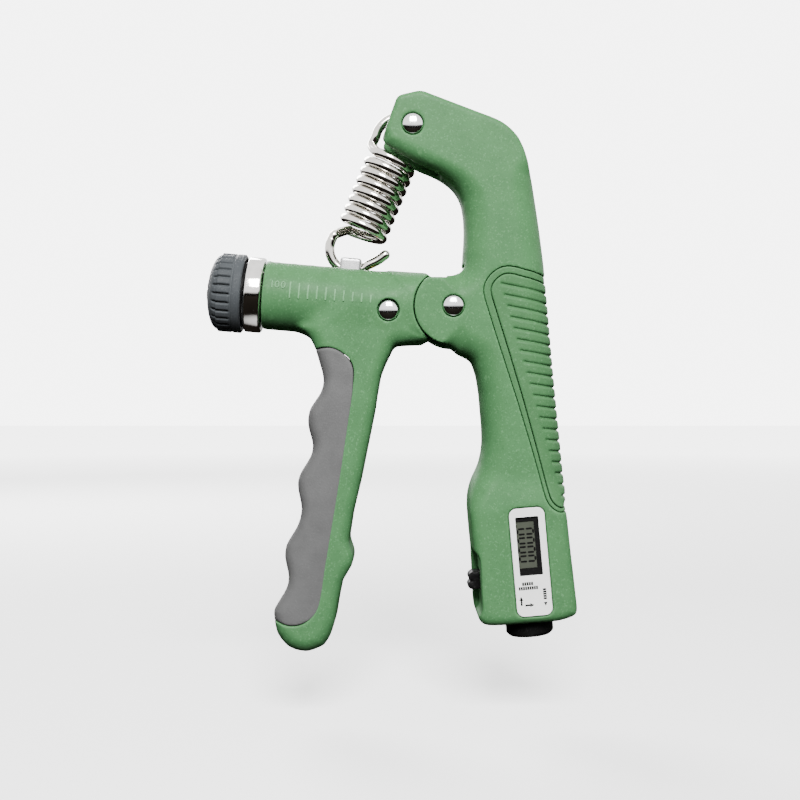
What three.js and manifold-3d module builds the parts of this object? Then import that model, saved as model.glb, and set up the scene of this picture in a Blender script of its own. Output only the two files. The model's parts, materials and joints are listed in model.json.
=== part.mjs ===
// Adjustable A-frame hand grip with a repetition counter.
//
// Frame: millimetres, +Z up, +X from the finger grip towards the palm grip, the flat front face
// towards -Y. The origin is the middle of the box round the grip with its handles apart. Every length
// below is measured from the axis of the main pivot, and the pivot is put in its place by one group.

import * as THREE from 'three';
import { mergeVertices } from 'three/addons/utils/BufferGeometryUtils.js';
import Module from 'manifold-3d';

const wasm = await Module();
wasm.setup();

// ---------------------------------------------------------------- driving dimensions

const PIVOT_AT = [18.184, 0, 18.263]; // the main pivot, from the middle of the whole grip
const GAP = 0.3;                 // clearance between neighbouring pieces
const FRAME_HALF = 10.2;         // half thickness of the palm handle
const HOUSING_HALF = 11.5;       // half thickness of the counter housing
const GRIP_HALF = 9.8;           // half thickness of the finger handle
const EDGE = 1.2;                // softened edge of the moulded handles
const BEYOND = 20;               // cuts run this far, past both faces

const EAR_R = 10.85;             // clevis ears round the main pivot
const EAR_TOP = 8.0;             // the ears are cut flat at this height
const TONGUE_R = 11.6;           // tongue of the finger handle between the ears
const TONGUE_HALF = 3.8;
const CLEVIS_SLOT_HALF = 5.0;
const PIN_R = 2.2;               // main pivot pin
const SMALL_PIN_R = 1.6;         // spring pin and bearing pin
const HEAD_R = 2.85;             // domed rivet heads
const HEAD_SEAT_R = 3.2;
const HEAD_SEAT_DEPTH = 1.2;
const FORK_SLOT_HALF = 4.0;      // slot in the head block for the spring hook
const TOP_PIN = [-11.3, 50.4];   // spring pin in the head block

const BARREL_TILT = 5;           // degrees, the barrel falls towards the pivot
const BARREL_END = [-53.15, 3.5];
const BARREL_R = 9.55;
const BORE_R = 7.4;
const BORE_LENGTH = 40.3;
const BARREL_LENGTH = 45;
const SCREW_R = 2.8;
const SCREW_TIP = 33;
const COLLAR_R = 10.65;
const COLLAR_LENGTH = 4.9;
const PLUG_R = BORE_R - 0.35;    // what slides or sits in the bore
const WASHER_R = 9.2;
const WASHER_THICK = 0.9;
const KNOB_R = 11.15;
const KNOB_KNURLS = 24;
const KNURL_DEPTH = 0.9;
const KNOB_LENGTH = 6.1;
const KNOB_DOME = 3.6;           // depth of the domed end
const SLIDER_AT = 23.5;          // spring eye, measured along the barrel from its open end
const SLIDER_HALF = 4.5;
const SLIDER_SLOT = [1.6, 32.2]; // the slot along the top of the barrel
const BEARING_PIN_AT = [35.4, -1.6];

const WIRE_R = 1.15;             // spring wire
const COIL_R = 6.25;
const COIL_PITCH = 2.9;
const COIL_TURNS = 8;
const COIL_LEAN = 22.5;          // degrees from upright
const COIL_FOOT = [-25.9, 20.8];
const LOWER_LOOP = [-28.4, 16.9, 6.4];
const UPPER_LOOP = [-14.7, 47.3, 7.5];

const COUNTER_AT = [21.2, -70.7]; // centre of the label plate
const COUNTER_TILT = 5;           // degrees
const LABEL = [9.8, 29.8];
const LABEL_THICK = 0.8;
const LCD = [6.8, 16.8];
const LCD_RISE = 5;              // the display sits above the middle of the label plate
const POCKET = [17, 29.4];
const POCKET_FRONT = -8.2;
const POCKET_BACK = 7.6;
const TRIGGER_AT = -5.0;          // height of the trigger in the counter frame
const TRIGGER_HEIGHT = 5.1;
const TRIGGER_WIDTH = 7.0;
const TRIGGER_TIP = -17.6;
const TRIGGER_FLANGE = -8.2;      // the flange rests against the inside of the wall here
const BUTTON_R = 7.0;
const BUTTON_AT = -0.9;           // the reset button sits a little towards the fingers

// ---------------------------------------------------------------- materials

function finish(color, roughness, metalness) {
  return new THREE.MeshStandardMaterial({ color, roughness, metalness });
}

const GREEN = finish(0x88af84, 0.55, 0);
const GREY_RUBBER = finish(0x7c7e7a, 0.85, 0);
const RIB_RUBBER = finish(0x7ea27c, 0.7, 0);
const KNOB_GREY = finish(0x60676a, 0.5, 0);
const BLACK = finish(0x141512, 0.45, 0);
const CHROME = finish(0xc8cacc, 0.2, 1);
const STEEL = finish(0x8d9092, 0.35, 1);
const BRASS = finish(0xb49a5a, 0.4, 1);
const LABEL_WHITE = finish(0xf2f3f0, 0.4, 0);
const LCD_GREY = finish(0x6e7066, 0.25, 0);
const BOARD_GREEN = finish(0x2d5b3c, 0.6, 0);

// ---------------------------------------------------------------- outlines, as lists of [x, z]

const degrees = (angle) => angle * Math.PI / 180;

function arc(cx, cz, radius, from, to, steps) {
  const points = [];
  for (let i = 0; i <= steps; i += 1) {
    const a = degrees(from + (to - from) * i / steps);
    points.push([cx + radius * Math.cos(a), cz + radius * Math.sin(a)]);
  }
  return points;
}

// A smooth stretch through the given points, with a few steps to each span.
function smooth(points, steps = 2) {
  const curve = new THREE.CatmullRomCurve3(points.map(([x, z]) => new THREE.Vector3(x, z, 0)));
  return curve.getPoints((points.length - 1) * steps).map((p) => [p.x, p.y]);
}

// A corner from a to b to c, rounded with a curve close to an arc of the given radius.
function corner(a, b, c, radius, steps = 3) {
  const at = new THREE.Vector2(...b);
  const toA = new THREE.Vector2(...a).sub(at).normalize();
  const toC = new THREE.Vector2(...c).sub(at).normalize();
  const half = Math.acos(toA.dot(toC)) / 2;
  const reach = radius / Math.tan(half);
  const start = at.clone().addScaledVector(toA, reach);
  const end = at.clone().addScaledVector(toC, reach);
  const points = [];
  for (let i = 0; i <= steps; i += 1) {
    const t = i / steps;
    const p = start.clone().multiplyScalar((1 - t) ** 2)
      .addScaledVector(at, 2 * t * (1 - t))
      .addScaledVector(end, t ** 2);
    points.push([p.x, p.y]);
  }
  return points;
}

// A closed outline from corner points [x, z, radius].
function polygon(corners) {
  return corners.flatMap(([x, z, radius = 0], i) => {
    const before = corners[(i + corners.length - 1) % corners.length];
    const after = corners[(i + 1) % corners.length];
    return radius ? corner(before.slice(0, 2), [x, z], after.slice(0, 2), radius) : [[x, z]];
  });
}

function rectangle(width, height, radius) {
  const x = width / 2;
  const z = height / 2;
  return polygon([[-x, -z, radius], [x, -z, radius], [x, z, radius], [-x, z, radius]]);
}

// ---------------------------------------------------------------- solids

function solid(geometry) {
  geometry.deleteAttribute('normal');
  geometry.deleteAttribute('uv');
  const merged = mergeVertices(geometry, 1e-4);
  const mesh = new wasm.Mesh({
    numProp: 3,
    vertProperties: new Float32Array(merged.attributes.position.array),
    triVerts: new Uint32Array(merged.index.array),
  });
  return new wasm.Manifold(mesh);
}

// An outline in the X-Z plane given thickness from y0 to y1, with an optional softened edge.
function plate(outline, y0, y1, edge = 0) {
  const shape = new THREE.Shape(outline.map(([x, z]) => new THREE.Vector2(x, z)));
  const geometry = new THREE.ExtrudeGeometry(shape, {
    depth: y1 - y0 - 2 * edge,
    bevelEnabled: edge > 0,
    bevelThickness: edge,
    bevelSize: edge,
    bevelOffset: -edge,
    bevelSegments: 2,
  });
  geometry.rotateX(Math.PI / 2);
  geometry.translate(0, y1 - edge, 0);
  return solid(geometry);
}

function slab(outline, half, edge = 0) {
  return plate(outline, -half, half, edge);
}

function box(x0, x1, y0, y1, z0, z1) {
  const geometry = new THREE.BoxGeometry(x1 - x0, y1 - y0, z1 - z0);
  geometry.translate((x0 + x1) / 2, (y0 + y1) / 2, (z0 + z1) / 2);
  return solid(geometry);
}

// Turned pieces: the profile is [distance along the axis, radius], from axis to axis.
function turned(profile, segments = 24) {
  const points = profile.map(([along, radius]) => new THREE.Vector2(radius, along));
  return new THREE.LatheGeometry(points, segments);
}

function alongX(profile, segments) {
  return solid(turned(profile, segments).rotateZ(-Math.PI / 2));
}

function alongY([x, z], profile, segments) {
  return solid(turned(profile, segments).translate(x, 0, z));
}

// Measured downwards from the origin of its frame, on the axis of the reset button.
function downwards(profile, segments) {
  return solid(turned(profile, segments).rotateX(-Math.PI / 2).translate(BUTTON_AT, 0, 0));
}

const rod = (from, to, radius) => [[from, 0], [from, radius], [to, radius], [to, 0]];

// A hollow turned piece, with a plain bore all through.
function ring(from, to, outer, inner) {
  return [[from, inner], [from, outer], [to, outer], [to, inner], [from, inner]];
}

// Round wire swept along a list of points [x, y, z].
function wire(points, radius, steps) {
  const path = new THREE.CatmullRomCurve3(points.map((p) => new THREE.Vector3(...p)));
  const section = new THREE.Shape(arc(0, 0, radius, 0, 315, 7).map((p) => new THREE.Vector2(...p)));
  return solid(new THREE.ExtrudeGeometry(section, { steps, bevelEnabled: false, extrudePath: path }));
}

// ---------------------------------------------------------------- frames

function frameAt([x, z], tilt) {
  const group = new THREE.Group();
  group.position.set(x, 0, z);
  group.rotation.y = degrees(tilt);
  group.updateMatrix();
  return group;
}

const object = new THREE.Group();
const grip = new THREE.Group();
grip.position.set(...PIVOT_AT);
object.add(grip);
const barrelFrame = frameAt(BARREL_END, BARREL_TILT);
const counterFrame = frameAt(COUNTER_AT, -COUNTER_TILT);
grip.add(barrelFrame, counterFrame);

const placed = (piece, frame) => piece.transform(frame.matrix.elements);

function add(name, piece, material, group = grip) {
  const { vertProperties, triVerts } = piece.getMesh();
  const geometry = new THREE.BufferGeometry();
  geometry.setAttribute('position', new THREE.BufferAttribute(new Float32Array(vertProperties), 3));
  geometry.setIndex(new THREE.BufferAttribute(new Uint32Array(triVerts), 1));
  geometry.computeVertexNormals();
  const mesh = new THREE.Mesh(geometry, material);
  mesh.name = name;
  group.add(mesh);
}

// ---------------------------------------------------------------- palm handle

// The outer edge, from the shoulder down to the counter housing.
const PALM_EDGE = [
  [7.8, 54.3], [13.4, 52.0], [18.0, 47.8], [20.7, 40.9], [22.6, 29.8],
  [25.0, 12.2], [27.4, -14.8], [30.0, -41.9], [32.6, -68.6], [34.0, -82.0],
];

// The inner edge, from the housing up to the foot of the clevis.
const INNER_EDGE = [
  [8.3, -82.5], [6.1, -71.7], [4.8, -60.0], [4.5, -53.0], [5.8, -47.8], [8.1, -43.6],
  [9.0, -38.0], [8.5, -29.6], [7.3, -19.5], [5.4, -15.2], [1.6, -13.3],
];

// The neck, from the clevis up to the head block.
const NECK_EDGE = [[3.0, 14.5], [3.4, 21.5], [2.6, 29.5], [0.0, 34.6], [-4.4, 38.2], [-8.6, 40.2]];

function palmOutline() {
  return [
    ...corner([-20.3, 46.0], [-15.6, 59.2], [-9.0, 60.7], 1.6),
    ...corner([-15.6, 59.2], [-9.0, 60.7], [7.8, 54.3], 3),
    ...smooth(PALM_EDGE),
    ...corner([34.0, -82.0], [34.8, -87.0], [9.0, -89.0], 3.5),
    ...corner([34.8, -87.0], [9.0, -89.0], [8.3, -82.5], 4),
    ...smooth(INNER_EDGE),
    ...arc(0, 0, EAR_R, 265, 132.5, 14),
    ...corner([-7, EAR_TOP], [3.0, EAR_TOP], [3.0, 14.5], 5),
    ...smooth(NECK_EDGE),
    ...corner([-8.6, 40.2], [-20.3, 46.0], [-15.6, 59.2], 1.8),
  ];
}

// The counter housing bulges a little beyond the faces of the handle.
const HOUSING = [
  [34.8, -87.0, 3.2], [9.0, -89.0, 3.6], [5.9, -70.0], [4.9, -60.5],
  [7.5, -53.5, 3], [18, -50.5, 3], [31.2, -55.5, 3], [32.7, -69.0],
];

// The palm panel sits in a recess that runs round the outer edge.
const RECESS = [
  [45, 4], [24.4, 7.5, 4], [14.4, 11.3, 5], [7.7, 7.6, 3.5], [11.0, -4.4], [13.5, -12.8],
  [19.6, -33.1], [22.1, -42.5], [25.6, -55.5, 5], [31.5, -58.6], [45, -58.6],
];
const PANEL = [
  [45, 2.5], [23.4, 6.9, 4], [13.8, 9.6, 4], [9.8, 5.2, 3], [15.8, -14.2],
  [19.1, -25.3], [22.4, -37.2], [24.4, -44.7], [27.0, -54.6, 4], [30.7, -56.9], [45, -56.9],
];
const PANEL_THICK = 2.4;

// The body of the handle that stays under the palm panel.
function panelCore(inset) {
  const edge = smooth(PALM_EDGE).map(([x, z]) => [x - inset, z]);
  return slab([...edge, [0, -82], [0, 54]], FRAME_HALF - inset);
}

// A through hole with a seat for a rivet head in each face.
function rivetHoles(at, radius, half) {
  const seat = half - HEAD_SEAT_DEPTH;
  return alongY(at, [
    [-BEYOND, 0], [-BEYOND, HEAD_SEAT_R], [-seat, HEAD_SEAT_R], [-seat, radius],
    [seat, radius], [seat, HEAD_SEAT_R], [BEYOND, HEAD_SEAT_R], [BEYOND, 0],
  ]);
}

// The rear cover and its two screws, in the counter frame.
const COVER = [19, 29];
const COVER_SHIFT = -2.5;
const COVER_THICK = 1.6;
const COVER_OPENING = [17, 24.2];
const COVER_SCREWS = [[0, 10.75], [0, -15.75]];
const COVER_SCREW_R = 1.1;
const COVER_HOLE_R = 0.9;

const raised = (outline, by) => outline.map(([x, z]) => [x, z + by]);

function counterPocket() {
  const back = HOUSING_HALF + 1;
  const seat = HOUSING_HALF - COVER_THICK - GAP;
  const around = ([width, height]) => [width + 2 * GAP, height + 2 * GAP];
  let cut = plate(rectangle(...POCKET, 1.5), POCKET_FRONT, POCKET_BACK);
  cut = cut.add(plate(raised(rectangle(...COVER_OPENING, 1.5), COVER_SHIFT), 0, back));
  cut = cut.add(plate(raised(rectangle(...around(COVER), 3), COVER_SHIFT), seat, back));
  cut = cut.add(plate(rectangle(...around(LABEL), 2.4), -HOUSING_HALF - 1, -HOUSING_HALF + LABEL_THICK));
  cut = cut.add(plate(raised(rectangle(...around(LCD), 0.6), LCD_RISE), -HOUSING_HALF - 1, 0));
  COVER_SCREWS.forEach((at) => {
    cut = cut.add(alongY(at, rod(POCKET_BACK, back, COVER_HOLE_R), 12));
  });
  // a guide for the trigger through the inner wall
  const [width, height] = around([TRIGGER_WIDTH, TRIGGER_HEIGHT]);
  cut = cut.add(box(-25, 0, -width / 2, width / 2, TRIGGER_AT - height / 2, TRIGGER_AT + height / 2));
  // a bore for the reset button through the bottom wall
  cut = cut.add(downwards(rod(14, 40, BUTTON_R)));
  return placed(cut, counterFrame);
}

function palmHandle() {
  let body = slab(palmOutline(), FRAME_HALF, EDGE);
  body = body.add(slab(polygon(HOUSING), HOUSING_HALF, EDGE));
  // the recess for the palm panel
  body = body.subtract(slab(polygon(RECESS), BEYOND).subtract(panelCore(PANEL_THICK + GAP)));
  // the clevis slot for the tongue of the finger handle
  body = body.subtract(slab([
    ...arc(0, 0, TONGUE_R + 0.5, -90, 70, 12), [-4, 20], [-30, 20], [-30, -20], [0, -20],
  ], CLEVIS_SLOT_HALF));
  // the fork slot for the spring hook
  body = body.subtract(slab(polygon([
    [-30, 38], [-30, 57.5], [-8, 57.5, 4], [-3.0, 50, 4], [-3.4, 42, 3], [-8, 36],
  ]), FORK_SLOT_HALF));
  body = body.subtract(rivetHoles([0, 0], PIN_R + GAP, FRAME_HALF));
  body = body.subtract(rivetHoles(TOP_PIN, SMALL_PIN_R + GAP, FRAME_HALF));
  return body.subtract(counterPocket());
}

function palmPanel() {
  const blank = slab(palmOutline(), FRAME_HALF, EDGE);
  return blank.intersect(slab(polygon(PANEL), BEYOND)).subtract(panelCore(PANEL_THICK));
}

add('palm_handle', palmHandle(), GREEN);
add('palm_panel', palmPanel(), RIB_RUBBER);

// ---------------------------------------------------------------- rivets: a headed pin and a cap

function headedPin(at, radius, half) {
  const seat = half - HEAD_SEAT_DEPTH + GAP;
  return alongY(at, [
    [-half - 0.7, 0], [-half - 0.4, 1.6], [-half + 0.2, HEAD_R], [-seat, HEAD_R], [-seat, radius],
    [seat, radius], [seat, 0],
  ]);
}

function pinCap(at, half) {
  const seat = half - HEAD_SEAT_DEPTH + 2 * GAP;
  return alongY(at, [
    [seat, 0], [seat, HEAD_R], [half - 0.2, HEAD_R], [half + 0.4, 1.6], [half + 0.7, 0],
  ]);
}

const barrelToObject = ([x, z]) => {
  const p = new THREE.Vector3(x, 0, z).applyMatrix4(barrelFrame.matrix);
  return [p.x, p.z];
};
const BEARING_PIN = barrelToObject(BEARING_PIN_AT);

add('pivot_pin', headedPin([0, 0], PIN_R, FRAME_HALF), CHROME);
add('pivot_pin_cap', pinCap([0, 0], FRAME_HALF), CHROME);
add('spring_pin', headedPin(TOP_PIN, SMALL_PIN_R, FRAME_HALF), CHROME);
add('spring_pin_cap', pinCap(TOP_PIN, FRAME_HALF), CHROME);
add('bearing_pin', headedPin(BEARING_PIN, SMALL_PIN_R, GRIP_HALF), CHROME);
add('bearing_pin_cap', pinCap(BEARING_PIN, GRIP_HALF), CHROME);

const BUSH_R = 3.4;
const BUSH_HALF = TONGUE_HALF - 0.1;
const PIVOT_WASHER_R = 5.2;
const SHIM_FROM = TONGUE_HALF + GAP;
const SHIM_TO = CLEVIS_SLOT_HALF - GAP;
add('pivot_bush', alongY([0, 0], ring(-BUSH_HALF, BUSH_HALF, BUSH_R, PIN_R + GAP)), BRASS);
add('pivot_washer_front', alongY([0, 0], ring(-SHIM_TO, -SHIM_FROM, PIVOT_WASHER_R, PIN_R + GAP)), STEEL);
add('pivot_washer_rear', alongY([0, 0], ring(SHIM_FROM, SHIM_TO, PIVOT_WASHER_R, PIN_R + GAP)), STEEL);

// ---------------------------------------------------------------- finger handle

// The finger side, from the tip up to the barrel, with four hollows for the fingers.
const FINGER_EDGE = [
  [-49.2, -91.0], [-50.0, -84.8], [-48.6, -82.3], [-46.2, -78.0], [-45.9, -74.6], [-46.9, -70.0],
  [-46.4, -66.2], [-43.4, -61.3], [-42.2, -56.4], [-43.0, -52.2], [-43.3, -48.8], [-42.2, -45.8],
  [-39.7, -41.8], [-39.1, -38.5], [-40.0, -35.0], [-40.5, -32.3], [-39.9, -28.5], [-37.0, -24.2],
  [-36.1, -20.6], [-37.3, -15.6], [-38.6, -11.5], [-40.3, -8.3], [-43.0, -5.5],
];

// The back of the grip, from the barrel down to the tip, with the striker for the counter.
const BACK_EDGE = [
  [-17.4, -12.9], [-20.3, -19.3], [-22.7, -30.7], [-26.4, -48.9], [-29.7, -65.2],
  [-28.5, -69.0], [-28.7, -72.0], [-31.5, -76.8], [-33.5, -87.7], [-34.8, -91.8],
];

function fingerOutline() {
  return [
    [-30, 4], [-7.2, 8.4], [-7.2, -9.3], [-9.3, -9.9],
    ...corner([-9.3, -9.9], [-16.4, -10.8], [-17.4, -12.9], 1.5),
    ...smooth(BACK_EDGE),
    ...smooth([[-36.6, -95.0], [-41.4, -97.1], [-46.1, -95.4], [-49.2, -91.0]]).slice(0, -1),
    ...smooth(FINGER_EDGE),
  ];
}

// The edge between the moulded handle and the soft finger pad.
function padRegion(clearance) {
  const edge = smooth([
    [-37.4, -12.1], [-34.6, -11.7], [-31.0, -13.2], [-28.5, -15.8], [-27.9, -19.0],
    [-29.6, -31.7], [-32.9, -53.3], [-36.2, -73.0], [-37.6, -82.2],
    [-38.8, -85.0], [-41.3, -87.6], [-44.4, -88.5], [-47.5, -87.9], [-50.5, -86.3],
  ]);
  // only the side towards the barrel, the back of the grip and the tip moves out by the clearance
  const grown = edge.map(([x, z]) => [
    x + (x > -40 ? clearance : 0),
    z + (z > -13.5 ? clearance : 0) - (z < -83 ? clearance : 0),
  ]);
  return [...grown, [-62, -80], [-62, -12.4 + clearance]];
}

function fingerHandle() {
  const tube = placed(alongX(rod(0, BARREL_LENGTH, BARREL_R), 40), barrelFrame);
  let body = slab(fingerOutline(), GRIP_HALF, EDGE).add(tube);
  body = body.subtract(slab(padRegion(GAP), BEYOND));
  // room for the clevis ears on both sides of the tongue
  const seat = EAR_R + 0.4;
  body = body.subtract(alongY([0, 0], rod(TONGUE_HALF, BEYOND, seat), 48));
  body = body.subtract(alongY([0, 0], rod(-BEYOND, -TONGUE_HALF, seat), 48));
  const tongue = [...arc(0, 0, TONGUE_R, -120, 41.5, 22), [-14, EAR_TOP - GAP], [-14, -9.5]];
  body = body.add(slab(tongue, TONGUE_HALF));
  body = body.subtract(alongY([0, 0], rod(-BEYOND, BEYOND, BUSH_R + GAP)));
  // the bore, and the slot along the top for the slider
  const bore = alongX(rod(-1, BORE_LENGTH, BORE_R), 32)
    .add(box(...SLIDER_SLOT, -3.1, 3.1, 2, 14));
  body = body.subtract(placed(bore, barrelFrame));
  return body.subtract(rivetHoles(BEARING_PIN, SMALL_PIN_R + GAP, GRIP_HALF));
}

function fingerPad() {
  return slab(fingerOutline(), GRIP_HALF, EDGE).intersect(slab(padRegion(0), BEYOND));
}

add('finger_handle', fingerHandle(), GREEN);
add('finger_pad', fingerPad(), GREY_RUBBER);

// ---------------------------------------------------------------- barrel and adjuster

const JOURNAL_BORE = SCREW_R + 0.5;

function bearingBlock() {
  const from = SCREW_TIP - 1.4;
  return alongX(rod(from, BORE_LENGTH - GAP, PLUG_R), 32)
    .subtract(alongX(rod(from - 1, SCREW_TIP + 0.4, SCREW_R + GAP)))
    .subtract(alongY(BEARING_PIN_AT, rod(-BEYOND, BEYOND, SMALL_PIN_R + GAP)));
}

function barrelCollar() {
  const from = -GAP - COLLAR_LENGTH;
  return alongX([
    [from, JOURNAL_BORE], [from, COLLAR_R - 0.5], [from + 0.5, COLLAR_R], [-GAP - 0.5, COLLAR_R],
    [-GAP, COLLAR_R - 0.5], [-GAP, PLUG_R], [1.2, PLUG_R], [1.2, JOURNAL_BORE],
    [from, JOURNAL_BORE],
  ], 36);
}

const WASHER_AT = -2 * GAP - COLLAR_LENGTH;
const KNOB_AT = WASHER_AT - WASHER_THICK - GAP;

const DOME_AT = KNOB_AT - KNOB_LENGTH;
const CAP_SEAT = DOME_AT - 2.4;
const CAP_R = 3.55;

// The outline of the rim: four corners to a knurl, one of them let in.
function knurledRim() {
  const count = KNOB_KNURLS * 4;
  const points = [];
  for (let i = 0; i < count; i += 1) {
    const angle = 2 * Math.PI * i / count;
    const radius = i % 4 === 0 ? KNOB_R - KNURL_DEPTH : KNOB_R;
    points.push(new THREE.Vector2(radius * Math.cos(angle), radius * Math.sin(angle)));
  }
  const rim = new THREE.ExtrudeGeometry(new THREE.Shape(points), { depth: KNOB_LENGTH, bevelEnabled: false });
  return solid(rim.rotateY(Math.PI / 2).translate(DOME_AT, 0, 0));
}

function domedEnd() {
  const steps = 5;
  const radius = KNOB_R - KNURL_DEPTH;
  const profile = [];
  for (let i = 0; i <= steps; i += 1) {
    const angle = Math.PI / 2 * i / steps;
    profile.push([DOME_AT - KNOB_DOME * Math.cos(angle), radius * Math.sin(angle)]);
  }
  return alongX([...profile, [DOME_AT + 1, radius], [DOME_AT + 1, 0]], 36);
}

function adjusterKnob() {
  return knurledRim()
    .add(domedEnd())
    .subtract(alongX(rod(KNOB_AT - 5.5, KNOB_AT + 1, SCREW_R + GAP)))
    .subtract(alongX(rod(-40, CAP_SEAT, CAP_R + 0.35)))
    .subtract(alongX(rod(-40, KNOB_AT - 4, 1.6)));
}

function sliderNut() {
  const from = SLIDER_AT - SLIDER_HALF;
  const to = SLIDER_AT + SLIDER_HALF;
  const block = box(SLIDER_AT - 3, SLIDER_AT + 3, -2.8, 2.8, 5, 12.7);
  return alongX(rod(from, to, PLUG_R), 32)
    .add(block)
    .subtract(alongX(rod(from - 1, to + 1, SCREW_R + 0.35)))
    .subtract(box(from - 1, to + 1, -1.6, 1.6, 7.5, 11.4));
}

function knobScrew() {
  return alongX([
    [CAP_SEAT - 1.0, 0], [CAP_SEAT - 1.0, 3.0], [CAP_SEAT - GAP, 3.0], [CAP_SEAT - GAP, 1.2],
    [KNOB_AT - 5.8, 1.2], [KNOB_AT - 5.8, 0],
  ], 16);
}

function knobCap() {
  const face = CAP_SEAT - 1.3;
  return alongX([[face - 1.2, 0], [face - 1.0, 2.2], [face - 0.5, CAP_R], [face, CAP_R], [face, 0]], 24);
}

add('screw_bearing_block', bearingBlock(), BRASS, barrelFrame);
add('barrel_collar', barrelCollar(), CHROME, barrelFrame);
add('knob_washer', alongX(ring(WASHER_AT - WASHER_THICK, WASHER_AT, WASHER_R, JOURNAL_BORE), 32),
  BLACK, barrelFrame);
add('adjuster_knob', adjusterKnob(), KNOB_GREY, barrelFrame);
add('adjuster_screw', alongX(rod(KNOB_AT - 5.2, SCREW_TIP, SCREW_R), 20), STEEL, barrelFrame);
add('knob_screw', knobScrew(), STEEL, barrelFrame);
add('knob_cap', knobCap(), KNOB_GREY, barrelFrame);
add('slider_nut', sliderNut(), STEEL, barrelFrame);

// ---------------------------------------------------------------- spring

// A point on the coil: turns counted from the foot, which lies on the side of the finger grip.
function coilPoint(turns) {
  const lean = degrees(COIL_LEAN);
  const along = turns * COIL_PITCH;
  const out = COIL_R * Math.cos(2 * Math.PI * turns);
  return [
    COIL_FOOT[0] + along * Math.sin(lean) - out * Math.cos(lean),
    COIL_R * Math.sin(2 * Math.PI * turns),
    COIL_FOOT[1] + along * Math.cos(lean) + out * Math.sin(lean),
  ];
}

function coil(from, to) {
  const count = Math.round((to - from) * 14);
  const points = [];
  for (let i = 0; i <= count; i += 1) points.push(coilPoint(from + (to - from) * i / count));
  return wire(points, WIRE_R, count);
}

const inPlane = ([x, z]) => [x, 0, z];

function lowerHook() {
  const [x, z, radius] = LOWER_LOOP;
  return wire([...arc(x, z, radius, 140, 313, 12), [-19.3, 14.6]].map(inPlane), WIRE_R, 18);
}

function upperHook() {
  const [x, z, radius] = UPPER_LOOP;
  return wire([[-22.8, 45.9], ...arc(x, z, radius, 168, -42, 14)].map(inPlane), WIRE_R, 20);
}

const MIDDLE = COIL_TURNS / 2;
add('spring_lower_hook', lowerHook(), STEEL);
add('spring_coils_lower', coil(0.06, MIDDLE - 0.02), STEEL);
add('spring_coils_upper', coil(MIDDLE + 0.02, COIL_TURNS - 0.06), STEEL);
add('spring_upper_hook', upperHook(), STEEL);

// ---------------------------------------------------------------- counter, in the counter frame

const BOARD = [15.5, 21.6];
const BOARD_RISE = 3.4;
const BOARD_FRONT = -6.2;
const BOARD_BACK = BOARD_FRONT + 1;
const BEHIND_BOARD = BOARD_BACK + GAP;
const CELL_R = 5.8;
const CELL_THICK = 5.4;

function coverPlate() {
  const from = HOUSING_HALF - COVER_THICK;
  let cover = plate(raised(rectangle(...COVER, 2.8), COVER_SHIFT), from, HOUSING_HALF);
  COVER_SCREWS.forEach((at) => {
    cover = cover.subtract(alongY(at, rod(from - 1, HOUSING_HALF + 1, COVER_SCREW_R + GAP), 16));
  });
  return cover;
}

function coverScrew(at) {
  const seat = HOUSING_HALF - COVER_THICK;
  return alongY(at, [
    [POCKET_BACK + GAP, 0], [POCKET_BACK + GAP, 0.6], [seat, 0.6], [seat, COVER_SCREW_R],
    [HOUSING_HALF - 0.4, COVER_SCREW_R], [HOUSING_HALF - 0.1, 0],
  ], 16);
}

function triggerPiece() {
  const low = TRIGGER_AT - TRIGGER_HEIGHT / 2;
  const high = TRIGGER_AT + TRIGGER_HEIGHT / 2;
  const half = TRIGGER_WIDTH / 2;
  const nose = polygon([
    [TRIGGER_TIP, low, 1.2], [TRIGGER_FLANGE, low], [TRIGGER_FLANGE, high], [TRIGGER_TIP, high, 1.2],
  ]);
  return slab(nose, half)
    .add(box(TRIGGER_FLANGE, TRIGGER_FLANGE + 1.2, -half - 0.8, half + 0.8, low - 1, high + 1));
}

function resetButton() {
  return downwards([
    [13.2, 0], [13.2, 7.3], [14.2, 7.3], [14.2, BUTTON_R - GAP], [20.6, BUTTON_R - GAP],
    [22.0, BUTTON_R - 1.6], [22.0, 0],
  ], 36);
}

function compressionSpring(axis, from, to, radius, turns) {
  const points = [];
  const count = turns * 8;
  for (let i = 0; i <= count; i += 1) {
    const a = 2 * Math.PI * i / 8;
    const along = from + (to - from) * i / count;
    points.push(axis(along, radius * Math.cos(a), radius * Math.sin(a)));
  }
  return wire(points, 0.3, count);
}

const triggerSpring = compressionSpring((t, u, v) => [t, u, TRIGGER_AT + v], -6.3, -2.2, 1.8, 3);
const resetSpring = compressionSpring((t, u, v) => [BUTTON_AT + u, v, -t], 9.6, 12.6, 3.0, 2);

add('label_plate', plate(rectangle(...LABEL, 2.2), -HOUSING_HALF, -HOUSING_HALF + LABEL_THICK - GAP),
  LABEL_WHITE, counterFrame);
add('lcd_panel', plate(raised(rectangle(...LCD, 0.4), LCD_RISE), -HOUSING_HALF + LABEL_THICK + GAP,
  BOARD_FRONT - GAP), LCD_GREY, counterFrame);
add('counter_board', plate(raised(rectangle(...BOARD, 0.5), BOARD_RISE), BOARD_FRONT, BOARD_BACK),
  BOARD_GREEN, counterFrame);
add('coin_cell', alongY([1.5, BOARD_RISE], rod(BEHIND_BOARD, BEHIND_BOARD + CELL_THICK, CELL_R), 32),
  CHROME, counterFrame);
add('count_switch', box(-1.8, 4.5, BEHIND_BOARD, BEHIND_BOARD + 6, TRIGGER_AT - 2.6, TRIGGER_AT + 2.2),
  BLACK, counterFrame);
add('rear_cover', coverPlate(), GREEN, counterFrame);
COVER_SCREWS.forEach((at, i) => add(`cover_screw_${i + 1}`, coverScrew(at), STEEL, counterFrame));
add('count_trigger', triggerPiece(), BLACK, counterFrame);
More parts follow.
